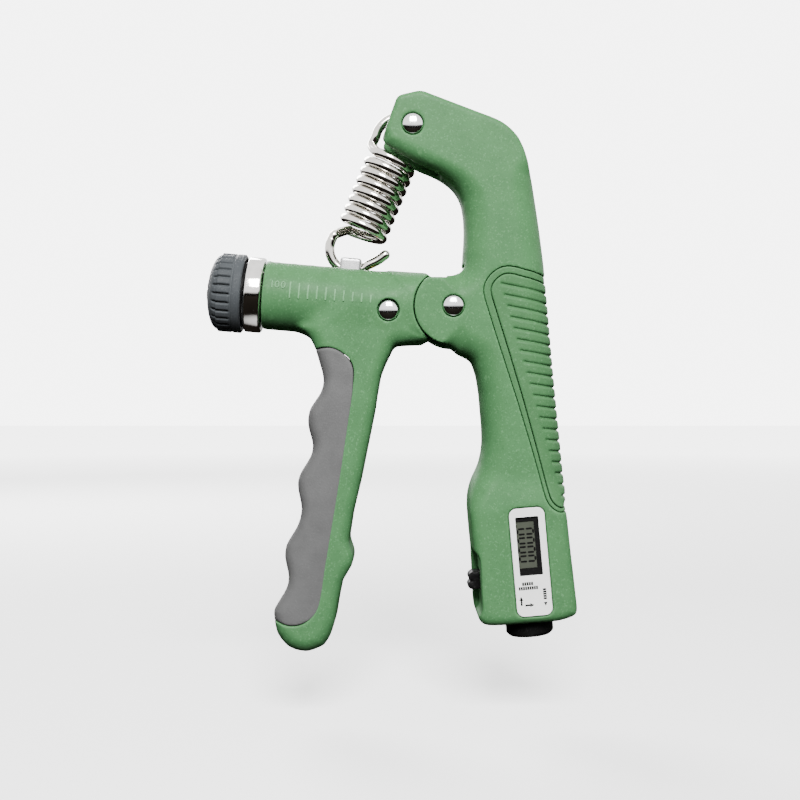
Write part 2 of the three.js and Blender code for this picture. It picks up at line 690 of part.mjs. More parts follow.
add('trigger_spring', triggerSpring, STEEL, counterFrame);
add('reset_button', resetButton(), BLACK, counterFrame);
add('reset_spring', resetSpring, STEEL, counterFrame);

export default object;
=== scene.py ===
# Looks of the adjustable hand grip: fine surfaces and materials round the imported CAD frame.
#
# Lengths in this script are millimetres from the axis of the main pivot, and become metres in the
# frame of the CAD part only when a mesh is made. The moulded pieces are distance fields: each is a
# function that is negative inside the piece, sampled on a grid and skinned with a mesh. Outlines
# come from cuts through CAD nodes. Numbers inside the functions are lengths and places in these
# millimetres: x to the right, y to the back, z up. Profiles of turned pieces are (rise, radius).

import json
import math

import bpy
import numpy as np
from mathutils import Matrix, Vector


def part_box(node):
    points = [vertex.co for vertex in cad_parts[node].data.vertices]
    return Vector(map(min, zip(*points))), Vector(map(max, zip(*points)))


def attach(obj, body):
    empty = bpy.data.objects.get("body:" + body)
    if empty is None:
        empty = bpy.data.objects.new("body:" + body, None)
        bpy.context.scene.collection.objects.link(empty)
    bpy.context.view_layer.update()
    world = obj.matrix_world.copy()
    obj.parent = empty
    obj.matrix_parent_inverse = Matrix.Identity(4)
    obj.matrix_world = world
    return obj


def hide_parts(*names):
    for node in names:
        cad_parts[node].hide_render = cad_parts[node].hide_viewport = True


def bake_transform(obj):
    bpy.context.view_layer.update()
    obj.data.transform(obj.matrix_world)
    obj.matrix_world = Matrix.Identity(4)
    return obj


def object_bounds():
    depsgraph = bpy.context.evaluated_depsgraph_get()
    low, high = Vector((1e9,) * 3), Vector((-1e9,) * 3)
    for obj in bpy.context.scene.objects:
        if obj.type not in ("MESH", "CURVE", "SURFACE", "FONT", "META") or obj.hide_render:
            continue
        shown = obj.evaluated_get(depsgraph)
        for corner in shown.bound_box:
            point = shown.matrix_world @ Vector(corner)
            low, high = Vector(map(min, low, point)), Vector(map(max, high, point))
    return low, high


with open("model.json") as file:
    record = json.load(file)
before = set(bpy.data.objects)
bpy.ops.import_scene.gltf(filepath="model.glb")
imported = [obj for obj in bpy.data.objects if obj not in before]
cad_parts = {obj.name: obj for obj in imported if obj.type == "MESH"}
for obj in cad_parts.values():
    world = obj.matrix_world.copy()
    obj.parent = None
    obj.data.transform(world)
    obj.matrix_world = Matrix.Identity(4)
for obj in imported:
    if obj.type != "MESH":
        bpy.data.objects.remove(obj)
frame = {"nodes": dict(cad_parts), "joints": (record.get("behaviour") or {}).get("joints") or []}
cad_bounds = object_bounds()

MM = 0.001
FINE = 0.42      # grid step of the moulded pieces
CUT_LEVEL = -8.0                        # depth at which the outlines of the CAD nodes are read
TIP_R = 0.01                            # radius that stands for a point on a lathe
Y_AXIS = (0.0, 1.0, 0.0)

JOINTS = {joint["name"]: joint for joint in frame["joints"]}
ORIGIN = np.add(*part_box("pivot_pin")) / 2 / MM * (1, 0, 1)


def box_mm(node):
    low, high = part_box(node)
    return np.array(low) / MM - ORIGIN, np.array(high) / MM - ORIGIN


def centre_mm(node):
    return np.add(*box_mm(node)) / 2


def joint_mm(name):
    return np.array(JOINTS[name]["pos_m"]) / MM - ORIGIN


BARREL_AXIS = np.array(JOINTS["knob_turn"]["axis"])
BARREL_END = joint_mm("knob_turn")
COUNTER_RIGHT = np.array(JOINTS["count_press"]["axis"])
COUNTER_UP = np.array(JOINTS["reset_press"]["axis"])
BARREL_UP = np.cross(BARREL_AXIS, Y_AXIS)
PIVOT = centre_mm("pivot_pin")
SPRING_PIN = centre_mm("spring_pin")
BEARING_PIN = centre_mm("bearing_pin")
SPRING_EYE = joint_mm("hook_swing")
COUNTER_CENTRE = centre_mm("label_plate")


# ---- distance fields on a grid

class Space:
    """Evenly spaced sample points in a box, as arrays x, y and z that broadcast together."""

    def __init__(self, low, high, step):
        axes = [a + step * np.arange(int((b - a) / step) + 2) for a, b in zip(low, high)]
        self.low = np.array(low, float)
        self.step = step
        self.x = axes[0][:, None, None]
        self.y = axes[1][None, :, None]
        self.z = axes[2][None, None, :]


def space_round(nodes, step, margin=1.5):
    lows, highs = zip(*(box_mm(node) for node in nodes))
    return Space(np.min(lows, 0) - margin, np.max(highs, 0) + margin, step)


def section(node, y):
    """Where the plane at this y cuts a CAD node, as segments (x0, z0, x1, z1)."""
    mesh = frame["nodes"][node].data
    mesh.calc_loop_triangles()
    points = np.array([v.co for v in mesh.vertices]) / MM - ORIGIN
    segments = []
    for triangle in mesh.loop_triangles:
        corners = points[list(triangle.vertices)]
        ends = []
        for a, b in zip(corners, np.roll(corners, -1, 0)):
            if (a[1] > y) != (b[1] > y):
                ends.extend((a + (y - a[1]) / (b[1] - a[1]) * (b - a))[[0, 2]])
        if ends:
            segments.append(ends)
    return np.array(segments)


def flat_distance(space, segments):
    """Signed distance to closed outlines in the X-Z plane, negative inside."""
    x = space.x[:, :, 0]
    z = space.z[0]
    nearest = np.full((x.shape[0], z.shape[1]), 1e12)
    inside = np.zeros(nearest.shape, bool)
    for x0, z0, x1, z1 in segments:
        dx, dz = x1 - x0, z1 - z0
        length = dx * dx + dz * dz
        if length < 1e-12:
            continue
        t = np.clip(((x - x0) * dx + (z - z0) * dz) / length, 0, 1)
        nearest = np.minimum(nearest, (x - x0 - t * dx) ** 2 + (z - z0 - t * dz) ** 2)
        if abs(dz) > 1e-9:
            inside ^= ((z0 > z) != (z1 > z)) & (x < x0 + (z - z0) * dx / dz)
    return (np.where(inside, -1, 1) * np.sqrt(nearest))[:, None, :]


def contour(space, flat):
    """The zero line of a flat field, as segments."""
    f = flat[:, 0, :]
    solid = f < 0
    count = solid[:-1, :-1].astype(int) + solid[1:, :-1] + solid[1:, 1:] + solid[:-1, 1:]
    segments = []
    for i, k in np.argwhere((count > 0) & (count < 4)):
        ring = [(i, k), (i + 1, k), (i + 1, k + 1), (i, k + 1)]
        ends = []
        for a, b in zip(ring, ring[1:] + ring[:1]):
            if solid[a] != solid[b]:
                place = np.array(a) + f[a] / (f[a] - f[b]) * np.subtract(b, a)
                ends.extend(space.low[[0, 2]] + place * space.step)
        segments.extend(ends[at:at + 4] for at in range(0, len(ends), 4))
    return np.array(segments)


def blurred(space, flat, radius):
    """The flat field smoothed with a bell of this radius."""
    reach = int(3 * radius / space.step)
    taps = np.arange(-reach, reach + 1) * space.step
    weights = np.exp(-0.5 * (taps / radius) ** 2)
    weights /= weights.sum()
    for axis in (0, 2):
        pads = [(0, 0)] * 3
        pads[axis] = (reach, reach)
        padded = np.pad(flat, pads, mode="edge")
        flat = np.apply_along_axis(np.convolve, axis, padded, weights, "valid")
    return flat


def without_holes(flat):
    """The same outline with its inner holes filled."""
    empty = flat > 0
    outside = np.zeros_like(empty)
    outside[[0, -1]] = True
    outside[:, :, [0, -1]] = True
    outside &= empty
    while True:
        grown = outside.copy()
        grown[1:] |= outside[:-1]
        grown[:-1] |= outside[1:]
        grown[:, :, 1:] |= outside[:, :, :-1]
        grown[:, :, :-1] |= outside[:, :, 1:]
        grown &= empty
        if (grown == outside).all():
            return np.where(outside, flat, -np.abs(flat))
        outside = grown


def smooth_max(a, b, radius):
    """The larger field, with the crease where the two meet eased by this radius."""
    blend = np.maximum(radius - np.abs(a - b), 0) / radius
    return np.maximum(a, b) + blend * blend * radius / 4


def smooth_min(a, b, radius):
    return -smooth_max(-a, -b, radius)


def cut(field, hole, radius):
    """The field without the hole, its edge eased by this radius."""
    return smooth_max(field, -hole, radius)


def block(*spans):
    """A box with square edges, from spans of (coordinate, middle, half width)."""
    field = -1e9
    for value, middle, half in spans:
        field = np.maximum(field, np.abs(value - middle) - half)
    return field


def ramp(value, start, end):
    """Rises smoothly from 0 at start to 1 at end."""
    t = np.clip((value - start) / (end - start), 0, 1)
    return t * t * (3 - 2 * t)


def cushion(flat, y, half, edge, width=None):
    """A slab of this outline whose edges are rounded: edge deep, and width in from the outline."""
    width = edge if width is None else width
    inward = (flat + width) * (edge / width)
    through = np.abs(y) - half + edge
    corner = np.hypot(np.maximum(inward, 0), np.maximum(through, 0))
    return corner + np.minimum(np.maximum(inward, through), 0) - edge


def along(space, origin, axis):
    return (space.x - origin[0]) * axis[0] + (space.y - origin[1]) * axis[1] \
        + (space.z - origin[2]) * axis[2]


def barrel_axes(space):
    """How far along the barrel, and how far above its axis."""
    return along(space, BARREL_END, BARREL_AXIS), along(space, BARREL_END, BARREL_UP)


def counter_axes(space):
    """How far right of the middle of the counter, and how far up."""
    return along(space, COUNTER_CENTRE, COUNTER_RIGHT), along(space, COUNTER_CENTRE, COUNTER_UP)


def disc(space, centre, radius):
    return np.hypot(space.x - centre[0], space.z - centre[2]) - radius


def sampled(space, field, points):
    """The field and its slope at any points, read between the samples."""
    place = (points - space.low) / space.step
    cell = np.clip(np.floor(place).astype(int), 0, np.array(field.shape) - 2)
    t = place - cell
    value = np.zeros(len(points))
    slope = np.zeros((len(points), 3))
    for corner in np.ndindex(2, 2, 2):
        f = field[tuple((cell + corner).T)]
        weights = np.where(corner, t, 1 - t)
        value += f * weights.prod(1)
        for axis in range(3):
            others = [a for a in range(3) if a != axis]
            sign = 1 if corner[axis] else -1
            slope[:, axis] += sign * f * weights[:, others].prod(1) / space.step
    return value, slope


def skin(space, field):
    """Vertices and quads of the surface where the field is zero."""
    field = np.broadcast_to(field, (space.x.size, space.y.size, space.z.size))
    solid = field < 0
    corners = list(np.ndindex(2, 2, 2))
    cells = tuple(n - 1 for n in solid.shape)

    def at(array, corner):
        return array[tuple(slice(o, o + n) for o, n in zip(corner, cells))]

    count = sum(at(solid, corner).astype(np.int8) for corner in corners)
    mixed = np.argwhere((count > 0) & (count < 8))
    values = {c: field[tuple((mixed + c).T)] for c in corners}
    total = np.zeros((len(mixed), 3))
    crossings = np.zeros(len(mixed))
    for a in corners:
        for axis in range(3):
            if a[axis]:
                continue
            b = tuple(1 if i == axis else a[i] for i in range(3))
            fa, fb = values[a], values[b]
            crossed = (fa < 0) != (fb < 0)
            t = np.where(crossed, fa / np.where(crossed, fa - fb, 1), 0)
            point = np.array(a, float) + t[:, None] * (np.array(b) - np.array(a))
            total += point * crossed[:, None]
            crossings += crossed
    points = space.low + (mixed + total / crossings[:, None]) * space.step
    for _ in range(2):
        value, slope = sampled(space, field, points)
        step = value[:, None] * slope / np.maximum((slope ** 2).sum(1), 0.05)[:, None]
        points -= np.clip(step, -space.step / 2, space.step / 2)
    index = np.full(cells, -1, np.int32)
    index[tuple(mixed.T)] = np.arange(len(mixed))
    quads = []
    for axis in range(3):
        u, v = [a for a in range(3) if a != axis]
        low = [slice(1, -1)] * 3
        low[axis] = slice(0, -1)
        high = list(low)
        high[axis] = slice(1, None)
        before, after = solid[tuple(low)], solid[tuple(high)]
        for flip in (False, True):
            edges = np.argwhere((before != after) & (before != flip))
            edges[:, [u, v]] += 1
            ring = []
            for du, dv in ((-1, -1), (0, -1), (0, 0), (-1, 0)):
                cell = edges.copy()
                cell[:, u] += du
                cell[:, v] += dv
                ring.append(index[tuple(cell.T)])
            ring = np.stack(ring, 1)
            quads.append(ring[:, ::-1] if flip == (axis != 1) else ring)
    return points, np.concatenate(quads)


# ---- pieces

def make_piece(name, shape, material, body, slot, *replaces, smooth=True):
    """A mesh that rides on a body; when body is a tuple (a, b, start, end), the mesh is baked in place and
    rides on none.
    """
    points, faces = shape
    mesh = bpy.data.meshes.new(name)
    points = (np.asarray(points) + ORIGIN) * MM
    mesh.from_pydata(points.tolist(), [], [list(map(int, face)) for face in faces])
    mesh.materials.append(material)
    mesh.polygons.foreach_set("use_smooth", [smooth] * len(mesh.polygons))
    mesh.update()
    piece = bpy.data.objects.new(name, mesh)
    bpy.context.scene.collection.objects.link(piece)
    if isinstance(body, tuple):
        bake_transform(piece)
    else:
        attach(piece, body)
    if replaces:
        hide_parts(*replaces)


def field_piece(name, space, field, material, body, slot, *replaces):
    make_piece(name, skin(space, field), material, body, slot, *replaces)


# ---- materials

def tone(colour, share=1.0, veil=0.0):
    """A reflectance, dimmed or brightened by a share and veiled with white."""
    return tuple(c * share * (1 - veil) + veil for c in colour) + (1.0,)


class Recipe:
    """A node material or world under construction, with short calls for the nodes used here."""

    def __init__(self, name, kind=bpy.data.materials, shader="Principled BSDF"):
        self.material = kind.new(name)
        self.material.use_nodes = True
        self.tree = self.material.node_tree
        self.surface = self.tree.nodes[shader]
        self.place = self.node("ShaderNodeTexCoord").outputs["Object"]

    def node(self, kind, **settings):
        node = self.tree.nodes.new(kind)
        for key, value in settings.items():
            setattr(node, key, value)
        return node

    def link(self, value, socket):
        if isinstance(value, bpy.types.NodeSocket):
            self.tree.links.new(value, socket)
        else:
            socket.default_value = value

    def set(self, **inputs):
        for key, value in inputs.items():
            self.link(value, self.surface.inputs[key.replace("_", " ")])

    def fed(self, kind, **inputs):
        """The outputs of a new node with these inputs."""
        node = self.node(kind)
        for key, value in inputs.items():
            self.link(value, node.inputs[key.replace("_", " ")])
        return node.outputs

    def noise(self, size, detail=3, rough=0.55, scale=None):
        """Noise whose features are about this many millimetres across."""
        place = self.place
        if scale:
            place = self.fed("ShaderNodeMapping", Vector=place, Scale=scale)["Vector"]
        return self.fed("ShaderNodeTexNoise", Vector=place, Scale=1 / (size * MM), Detail=detail,
                        Roughness=rough)["Fac"]

    def cells(self, size):
        return self.fed("ShaderNodeTexVoronoi", Vector=self.place, Scale=1 / (size * MM))["Distance"]

    def band(self, value, low, high, start=0.0, end=1.0):
        """The value taken from low..high to start..end, held at the ends."""
        return self.fed("ShaderNodeMapRange", Value=value, From_Min=low, From_Max=high, To_Min=start,
                        To_Max=end)["Result"]

    def mix(self, factor, a, b):
        node = self.node("ShaderNodeMix", data_type="RGBA")
        self.link(factor, node.inputs["Factor"])
        self.link(a, node.inputs[6])
        self.link(b, node.inputs[7])
        return node.outputs[2]

    def product(self, a, b):
        node = self.node("ShaderNodeMath", operation="MULTIPLY")
        self.link(a, node.inputs[0])
        self.link(b, node.inputs[1])
        return node.outputs[0]

    def wear(self):
        """High on convex edges, low in creases."""
        return self.node("ShaderNodeNewGeometry").outputs["Pointiness"]

    def bump(self, height, depth, before=None):
        """Relief of this many millimetres."""
        earlier = {} if before is None else {"Normal": before}
        return self.fed("ShaderNodeBump", Distance=depth * MM, Height=height, **earlier)["Normal"]


def moulded_plastic(name, colour, roughness=0.42, grain=0.35, relief=0.03, speckle=0.5, shine=0.07):
    """Satin moulded plastic: fine sparkling grain, faint mottling, lighter worn edges."""
    r = Recipe(name)
    fine = r.noise(grain, 2)
    mottle = r.noise(6, 4)
    base = r.mix(r.band(mottle, 0.32, 0.68), tone(colour, 1.06), tone(colour, 0.93))
    spark = r.band(r.noise(grain * 1.5, 1), 0.58, 0.76, 0, speckle)
    base = r.mix(spark, base, tone(colour, 1.7, 0.03))
    pit = r.band(r.noise(grain * 2.2, 2), 0.30, 0.42, speckle * 0.6, 0)
    base = r.mix(pit, base, tone(colour, 0.6))
    base = r.mix(r.band(r.wear(), 0.515, 0.56, 0, 0.35), base, tone(colour, 1.6, 0.02))
    rough = r.band(r.noise(2.5, 3), 0.3, 0.7, roughness - 0.06, roughness + 0.08)
    r.set(Base_Color=base, Roughness=rough, Specular_IOR_Level=shine)
    r.set(Normal=r.bump(r.noise(9, 2), 0.04, r.bump(fine, relief)))
    return r.material


def soft_rubber(name, colour):
    """Matt soft grip: even grey with a fine leathery grain and rubbed crests."""
    r = Recipe(name)
    base = r.mix(r.band(r.noise(8, 4), 0.3, 0.7), tone(colour, 1.1), tone(colour, 0.86))
    base = r.mix(r.band(r.noise(0.45, 1), 0.6, 0.8, 0, 0.4), base, tone(colour, 1.5))
    base = r.mix(r.band(r.wear(), 0.51, 0.56, 0, 0.3), base, tone(colour, 1.5))
    r.set(Base_Color=base, Roughness=r.band(r.noise(3, 2), 0.3, 0.7, 0.66, 0.8), Specular_IOR_Level=0.3)
    r.set(Normal=r.bump(r.cells(0.55), 0.03, r.bump(r.noise(0.3, 2), 0.02)))
    return r.material


def plated_metal(name, colour, roughness, scratch=(1, 1, 1), relief=0.004):
    """Bright metal: faint haze, fine drawn scratches, uneven polish."""
    r = Recipe(name)
    scratches = r.noise(0.25, 4, 0.7, scratch)
    base = r.mix(r.band(r.noise(3, 3), 0.35, 0.75), tone(colour), tone(colour, 0.8))
    r.set(Base_Color=base, Metallic=1.0)
    r.set(Roughness=r.band(scratches, 0.3, 0.7, roughness * 0.7, roughness * 1.4))
    r.set(Normal=r.bump(scratches, relief))
    return r.material


GREEN = moulded_plastic("green_plastic", (0.056, 0.160, 0.062))
PANEL_GREEN = moulded_plastic("panel_plastic", (0.050, 0.140, 0.054), roughness=0.5, relief=0.04)
PAD_GREY = soft_rubber("grey_soft_grip", (0.083, 0.083, 0.083))


# ---- palm handle

def outline_of(nodes, y=CUT_LEVEL, closing=0.6, softness=0.6):
    """The smoothed joint outline of CAD nodes, as segments."""
    lows, highs = zip(*(box_mm(node) for node in nodes))
    low, high = np.min(lows, 0), np.max(highs, 0)
    plane = Space((low[0] - 5, 0, low[2] - 5), (high[0] + 5, 0, high[2] + 5), 0.45)
    plane.y = plane.y[:, :1]
    flat = flat_distance(plane, section(nodes[0], y))
    for node in nodes[1:]:
        flat = np.minimum(flat, flat_distance(plane, section(node, y)))
    flat = without_holes(flat - closing)
    flat = flat_distance(plane, contour(plane, flat)) + closing
    return contour(plane, blurred(plane, flat, softness))


def eased_palm(outline):
    """Rounded sides look thinner than square ones, so parts of this outline stand out a little more."""
    x, z = outline[:, [0, 2]], outline[:, [1, 3]]
    outer = ramp(x, 12, 20) * ramp(z, -56, -50) * (1 - ramp(z, 30, 45))
    inner = (1 - ramp(x, 12, 20)) * ramp(z, -48, -42) * (1 - ramp(z, -18, -14))
    heel = ramp(-z, 66, 86) * (1 - ramp(x, 10, 16)) * (1 - ramp(-z, 90, 95))
    corner = ramp(x, 28, 34) * ramp(-z, 84, 88)
    outline[:, [0, 2]] += 0.65 * outer - 0.5 * inner - 1.8 * heel
    outline[:, [1, 3]] += 0.8 * corner - 0.8 * ramp(z, 25, 45)
    return outline


def eased_finger(outline):
    x, z = outline[:, [0, 2]], outline[:, [1, 3]]
    right = ramp(x - 0.185 * z + 25.3, -2, 3) * ramp(-z, 15, 30)
    outline[:, [0, 2]] += 0.6 * right
    outline[:, [1, 3]] += 0.6 * ramp(-z, 92, 98)
    return outline


FRAME_HALF = 10.2
HOUSING_SWELL = 1.1
PALM_OUTLINE = eased_palm(outline_of(["palm_handle", "palm_panel"], closing=2.2))
PANEL_OUTLINE = outline_of(["palm_panel"], closing=0.1, softness=1.1)
LABEL_SIZE = (9.8, 29.8)
COVER_SIZE = (19.0, 29.0)
COVER_LEVEL = -2.5
TRIGGER_LEVEL = -5.0
RESET_AT = -0.9
EAR_GAP = 12.1
CLEVIS_HALF = 5.0
FORK_HALF = 4.0
RIVET_SEAT = 3.15
RIVET_SEAT_DEPTH = 1.2


def rounded_rectangle(w, h, size, radius):
    a = np.abs(w) - size[0] / 2 + radius
    b = np.abs(h) - size[1] / 2 + radius
    return np.hypot(np.maximum(a, 0), np.maximum(b, 0)) + np.minimum(np.maximum(a, b), 0) - radius


def palm_blank(space):
    """The palm handle before anything is let into it: thick rounded edges, sharper on the head."""
    x, z = space.x, space.z
    flat = flat_distance(space, PALM_OUTLINE)
    # a round fillet in the corner between the ears and the neck
    corner = np.maximum(np.maximum(-1.7 - x, x - 4), np.maximum(8 - z, z - 13.1))
    flat = np.minimum(flat, np.maximum(4.6 - np.hypot(x + 1.7, z - 13.1), corner))
    half = FRAME_HALF + HOUSING_SWELL * ramp(-z, 46, 58)
    edge = 7.5 - 3.5 * ramp(z, 30, 42)
    crease = z + 0.35 * x
    corner_left = (1 - ramp(x, -17, -12)) * ramp(crease, 39.5, 43) * (z > 38)
    head_top = np.maximum(ramp(crease, 43, 50), corner_left)
    edge = edge * (1 - head_top) + 1.4 * head_top
    housing = ramp(-z, 46, 60)
    edge = edge * (1 - housing) + 3.0 * housing
    ears = (1 - ramp(x, -4, 3)) * (1 - ramp(np.abs(z), 12, 18))
    edge = edge * (1 - ears) + 0.4 * ears
    return flat, cushion(flat, space.y, half, edge)


def panel_region(space):
    """Negative where the ribbed panel lies, and beyond it on the outer side of the handle."""
    beyond = PANEL_OUTLINE + (4.0, -1.0, 4.0, -1.0)
    return np.minimum(flat_distance(space, PANEL_OUTLINE), flat_distance(space, beyond))


def border_width(space):
    """The band round the ribbed panel is wider at the top."""
    return 1.3 + 0.8 * ramp(space.z, -50, -5)


def palm_border():
    """The sunk band between the panel and the rest of the handle."""
    space = space_round(["palm_panel"], FINE * 0.65, 3.5)
    solid = palm_blank(space)[1]
    region = panel_region(space)
    band = np.maximum(region - border_width(space) + 0.18, 0.12 - region)
    field = smooth_max(smooth_max(solid + 0.22, band, 0.15), -solid - 1.4, 0.1)
    field_piece("palm_panel_border", space, field, PANEL_GREEN, "palm_handle", "green_body")


def rivet_hole(space, field, centre, half, radius):
    bore = disc(space, centre, radius)
    seat = np.maximum(disc(space, centre, RIVET_SEAT), half - RIVET_SEAT_DEPTH - np.abs(space.y))
    return cut(field, np.minimum(bore, seat), 0.2)


def palm_shell():
    space = space_round(["palm_handle", "palm_panel"], FINE)
    x, y, z = space.x, space.y, space.z
    flat, solid = palm_blank(space)
    pocket = np.maximum(panel_region(space) - border_width(space), -solid - 1.6)
    field = np.maximum(solid, -pocket)
    # clevis and fork slots
    clevis = np.maximum(np.abs(y) - CLEVIS_HALF, disc(space, PIVOT, EAR_GAP))
    field = cut(field, clevis, 0.5)
    fork = smooth_max(smooth_max(x + 3.4, z - 57.6, 4), 30 - z, 4)
    field = cut(field, np.maximum(np.abs(y) - FORK_HALF, fork), 0.7)
    for swing in (0, 7, 14, 20.5):
        field = cut(field, coil_room(space, swing), 0.3)
    # the inner edge of the housing is cut back round the trigger
    w, h = counter_axes(space)
    step = smooth_max(-flat - 1.7, np.maximum(h - 4.3, -14.6 - h), 4)
    step = smooth_max(step, np.maximum(y - 4.2, w + 6), 0.8)
    field = cut(field, step, 0.6)
    field = rivet_hole(space, field, PIVOT, FRAME_HALF, 2.5)
    field = rivet_hole(space, field, SPRING_PIN, FRAME_HALF, 1.9)
    # label recess, display window and pocket
    label = rounded_rectangle(w, h, np.add(LABEL_SIZE, 0.5), 2.4)
    front = FRAME_HALF + HOUSING_SWELL
    field = cut(field, np.maximum(label, y + front - 0.9), 0.35)
    window = np.maximum(rounded_rectangle(w, h - 5, (7.4, 17.4), 0.6), y)
    pocket = np.maximum(rounded_rectangle(w, h, (17, 29.4), 1.5), block((y, -0.3, 7.9)))
    opening = np.maximum(rounded_rectangle(w, h - COVER_LEVEL, (17, 24.2), 1.5), -y)
    cover = rounded_rectangle(w, h - COVER_LEVEL, np.add(COVER_SIZE, 0.6), 3)
    cover = np.maximum(cover, 9.6 - y)
    hollow = np.minimum(np.minimum(window, pocket), np.minimum(opening, cover))
    guide = np.maximum(block((h, TRIGGER_LEVEL, 2.85), (y, 0, 3.8)), w)
    button = np.maximum(np.hypot(w - RESET_AT, y) - 7.0, h + 14)
    hollow = np.minimum(hollow, np.minimum(guide, button))
    field = cut(field, hollow, 0.3)
    field_piece("palm_handle_shell", space, field, GREEN, "palm_handle", "green_body", "palm_handle")


RIB_PITCH = 3.09
RIB_TOP = 6.1
RIB_COUNT = 20
RIB_DEPTH = 0.6


def palm_panel():
    space = space_round(["palm_panel"], FINE * 0.65)
    x, z = space.x, space.z
    solid = palm_blank(space)[1]
    region = panel_region(space)
    # ribs: grooves that run from the slanting side of the panel round the outer edge
    left_end = 13.1 + 0.288 * (RIB_TOP - z)
    slope = 0.10 + 0.11 * ramp(z, -40, 5)
    start = z + slope * (x - left_end)
    row = np.clip(np.round((RIB_TOP - start) / RIB_PITCH), 0, RIB_COUNT - 1)
    offset = start - RIB_TOP + row * RIB_PITCH
    groove = np.exp(-(offset / 0.34) ** 2) * ramp(x - left_end, -0.3, 0.3)
    field = smooth_max(solid + RIB_DEPTH * groove, region + 0.1, 0.5)
    field = np.maximum(field, -solid - 1.3)
    field_piece("palm_panel_ribbed", space, field, PANEL_GREEN, "palm_handle", "ribbed_panel",
                "palm_panel")


# ---- finger handle

GRIP_HALF = 9.8
BARREL_R = 9.8
BARREL_LENGTH = 45.0
TUBE_RISE = 0.35        # the outside of the barrel stands this much above its axis
BORE_R = 7.4
EAR_SEAT = 11.1
TONGUE_R = 11.6
TONGUE_HALF = 3.8
FINGER_OUTLINE = eased_finger(outline_of(["finger_handle", "finger_pad"], closing=0.4, softness=0.5))
CORE_OUTLINE = eased_finger(outline_of(["finger_handle"], closing=0.1, softness=0.5))
PAD_OUTLINE = outline_of(["finger_pad"], closing=0.1, softness=0.5)


def grip_blank(space):
    """The grip below the barrel, green core and grey pad together."""
    x, z = space.x, space.z
    flat = flat_distance(space, FINGER_OUTLINE)
    # the outline leaves out the barrel's own end
    past_web = -0.59 * (x + 30) + 0.807 * (z - 4)
    flat = smooth_max(flat, past_web, 2)
    # it runs on to the right, so that the face is flat up to the seam with the clevis ears
    flat = smooth_min(flat, block((x, -8, 8), (z, -0.45, 8.85)), 1)
    edge = 3.2 + 1.6 * ramp(-z, 84, 96) + 1.5 * ramp(z, -20, 0)
    return cushion(flat, space.y, GRIP_HALF, edge)


def finger_shell():
    space = space_round(["finger_handle"], FINE)
    y = space.y
    u, n = barrel_axes(space)
    outer = np.hypot(n - TUBE_RISE, y)
    tube = smooth_max(outer - BARREL_R, np.maximum(-u, u - BARREL_LENGTH), 0.8)
    field = smooth_min(grip_blank(space), tube, 3.0)
    pad = flat_distance(space, PAD_OUTLINE)
    field = smooth_max(field, 0.35 - pad, 0.4)
    seat = np.maximum(disc(space, PIVOT, EAR_SEAT), TONGUE_HALF - np.abs(y))
    field = cut(field, seat, 0.35)
    tongue = smooth_max(disc(space, PIVOT, TONGUE_R), space.z - 7.7, 0.6)
    tongue = np.maximum(tongue, np.abs(y) - TONGUE_HALF)
    field = np.minimum(field, tongue)
    bore = np.maximum(np.hypot(n, y) - BORE_R, u - 40.3)
    slot = smooth_max(smooth_max(block((u, 17.3, 16.9)), block((y, 0, 3.1)), 3), 2 - n, 0.1)
    field = cut(field, np.minimum(bore, slot), 0.35)
    field = cut(field, disc(space, PIVOT, 3.7), 0.3)
    field = rivet_hole(space, field, BEARING_PIN, GRIP_HALF, 1.9)
    field_piece("finger_handle_shell", space, field, GREEN, "finger_handle", "green_body",
                "finger_handle")


def finger_pad():
    space = space_round(["finger_pad"], FINE)
    core = flat_distance(space, CORE_OUTLINE)
    field = smooth_max(grip_blank(space), 0.1 - core, 0.6)
    field = np.maximum(field, barrel_axes(space)[1] + 8)
    field_piece("finger_pad_soft", space, field, PAD_GREY, "finger_handle", "grey_pad", "finger_pad")


# ---- turned pieces and wires

def eased(points, radius, steps=3):
    """An open polyline whose inner corners are rounded."""
    points = [np.array(p, float) for p in points]
    result = [points[0]]
    for before, at, after in zip(points, points[1:], points[2:]):
        back, ahead = np.linalg.norm(before - at), np.linalg.norm(after - at)
        reach = min(radius, back / 2.1, ahead / 2.1)
        start = at + (before - at) / max(back, 1e-9) * reach
        end = at + (after - at) / max(ahead, 1e-9) * reach
        for t in np.linspace(0, 1, steps + 1):
            result.append(start * (1 - t) ** 2 + at * 2 * t * (1 - t) + end * t * t)
    return np.array(result + [points[-1]])


def across(axis):
    """Two directions that make a right-handed frame with the axis."""
    side = np.array(Y_AXIS if abs(axis[1]) < 0.9 else (0.0, 0.0, 1.0))
    side = side - axis * side.dot(axis)
    side /= np.linalg.norm(side)
    return side, np.cross(axis, side)


def tube_faces(rings, segments, closed=True):
    """Quads from ring to ring, and a cap at either end."""
    faces = []
    for i in range(0, (rings - 1) * segments, segments):
        for j in range(segments):
            k = (j + 1) % segments
            faces.append((i + j, i + segments + j, i + segments + k, i + k))
    if closed:
        last = (rings - 1) * segments
        faces += [tuple(range(segments)), tuple(range(last, last + segments))[::-1]]
    return faces


def turned(centre, side, up, radius, angle):
    """A ring of points round a centre."""
    return centre + (radius * np.cos(angle))[:, None] * side + (radius * np.sin(angle))[:, None] * up


def lathe(profile, origin, axis, segments=72, shape=None):
    """A turned mesh from (rise along the axis, radius). shape(rise, angle, radius) may alter it."""
    axis = np.array(axis, float)
    side, up = across(axis)
    angle = 2 * math.pi * np.arange(segments) / segments
    rings = []
    for rise, radius in profile:
        r = shape(rise, angle, radius) if shape else np.full(segments, max(radius, TIP_R))
        rings.append(turned(np.array(origin) + axis * rise, side, up, r, angle))
    return np.concatenate(rings), tube_faces(len(profile), segments)


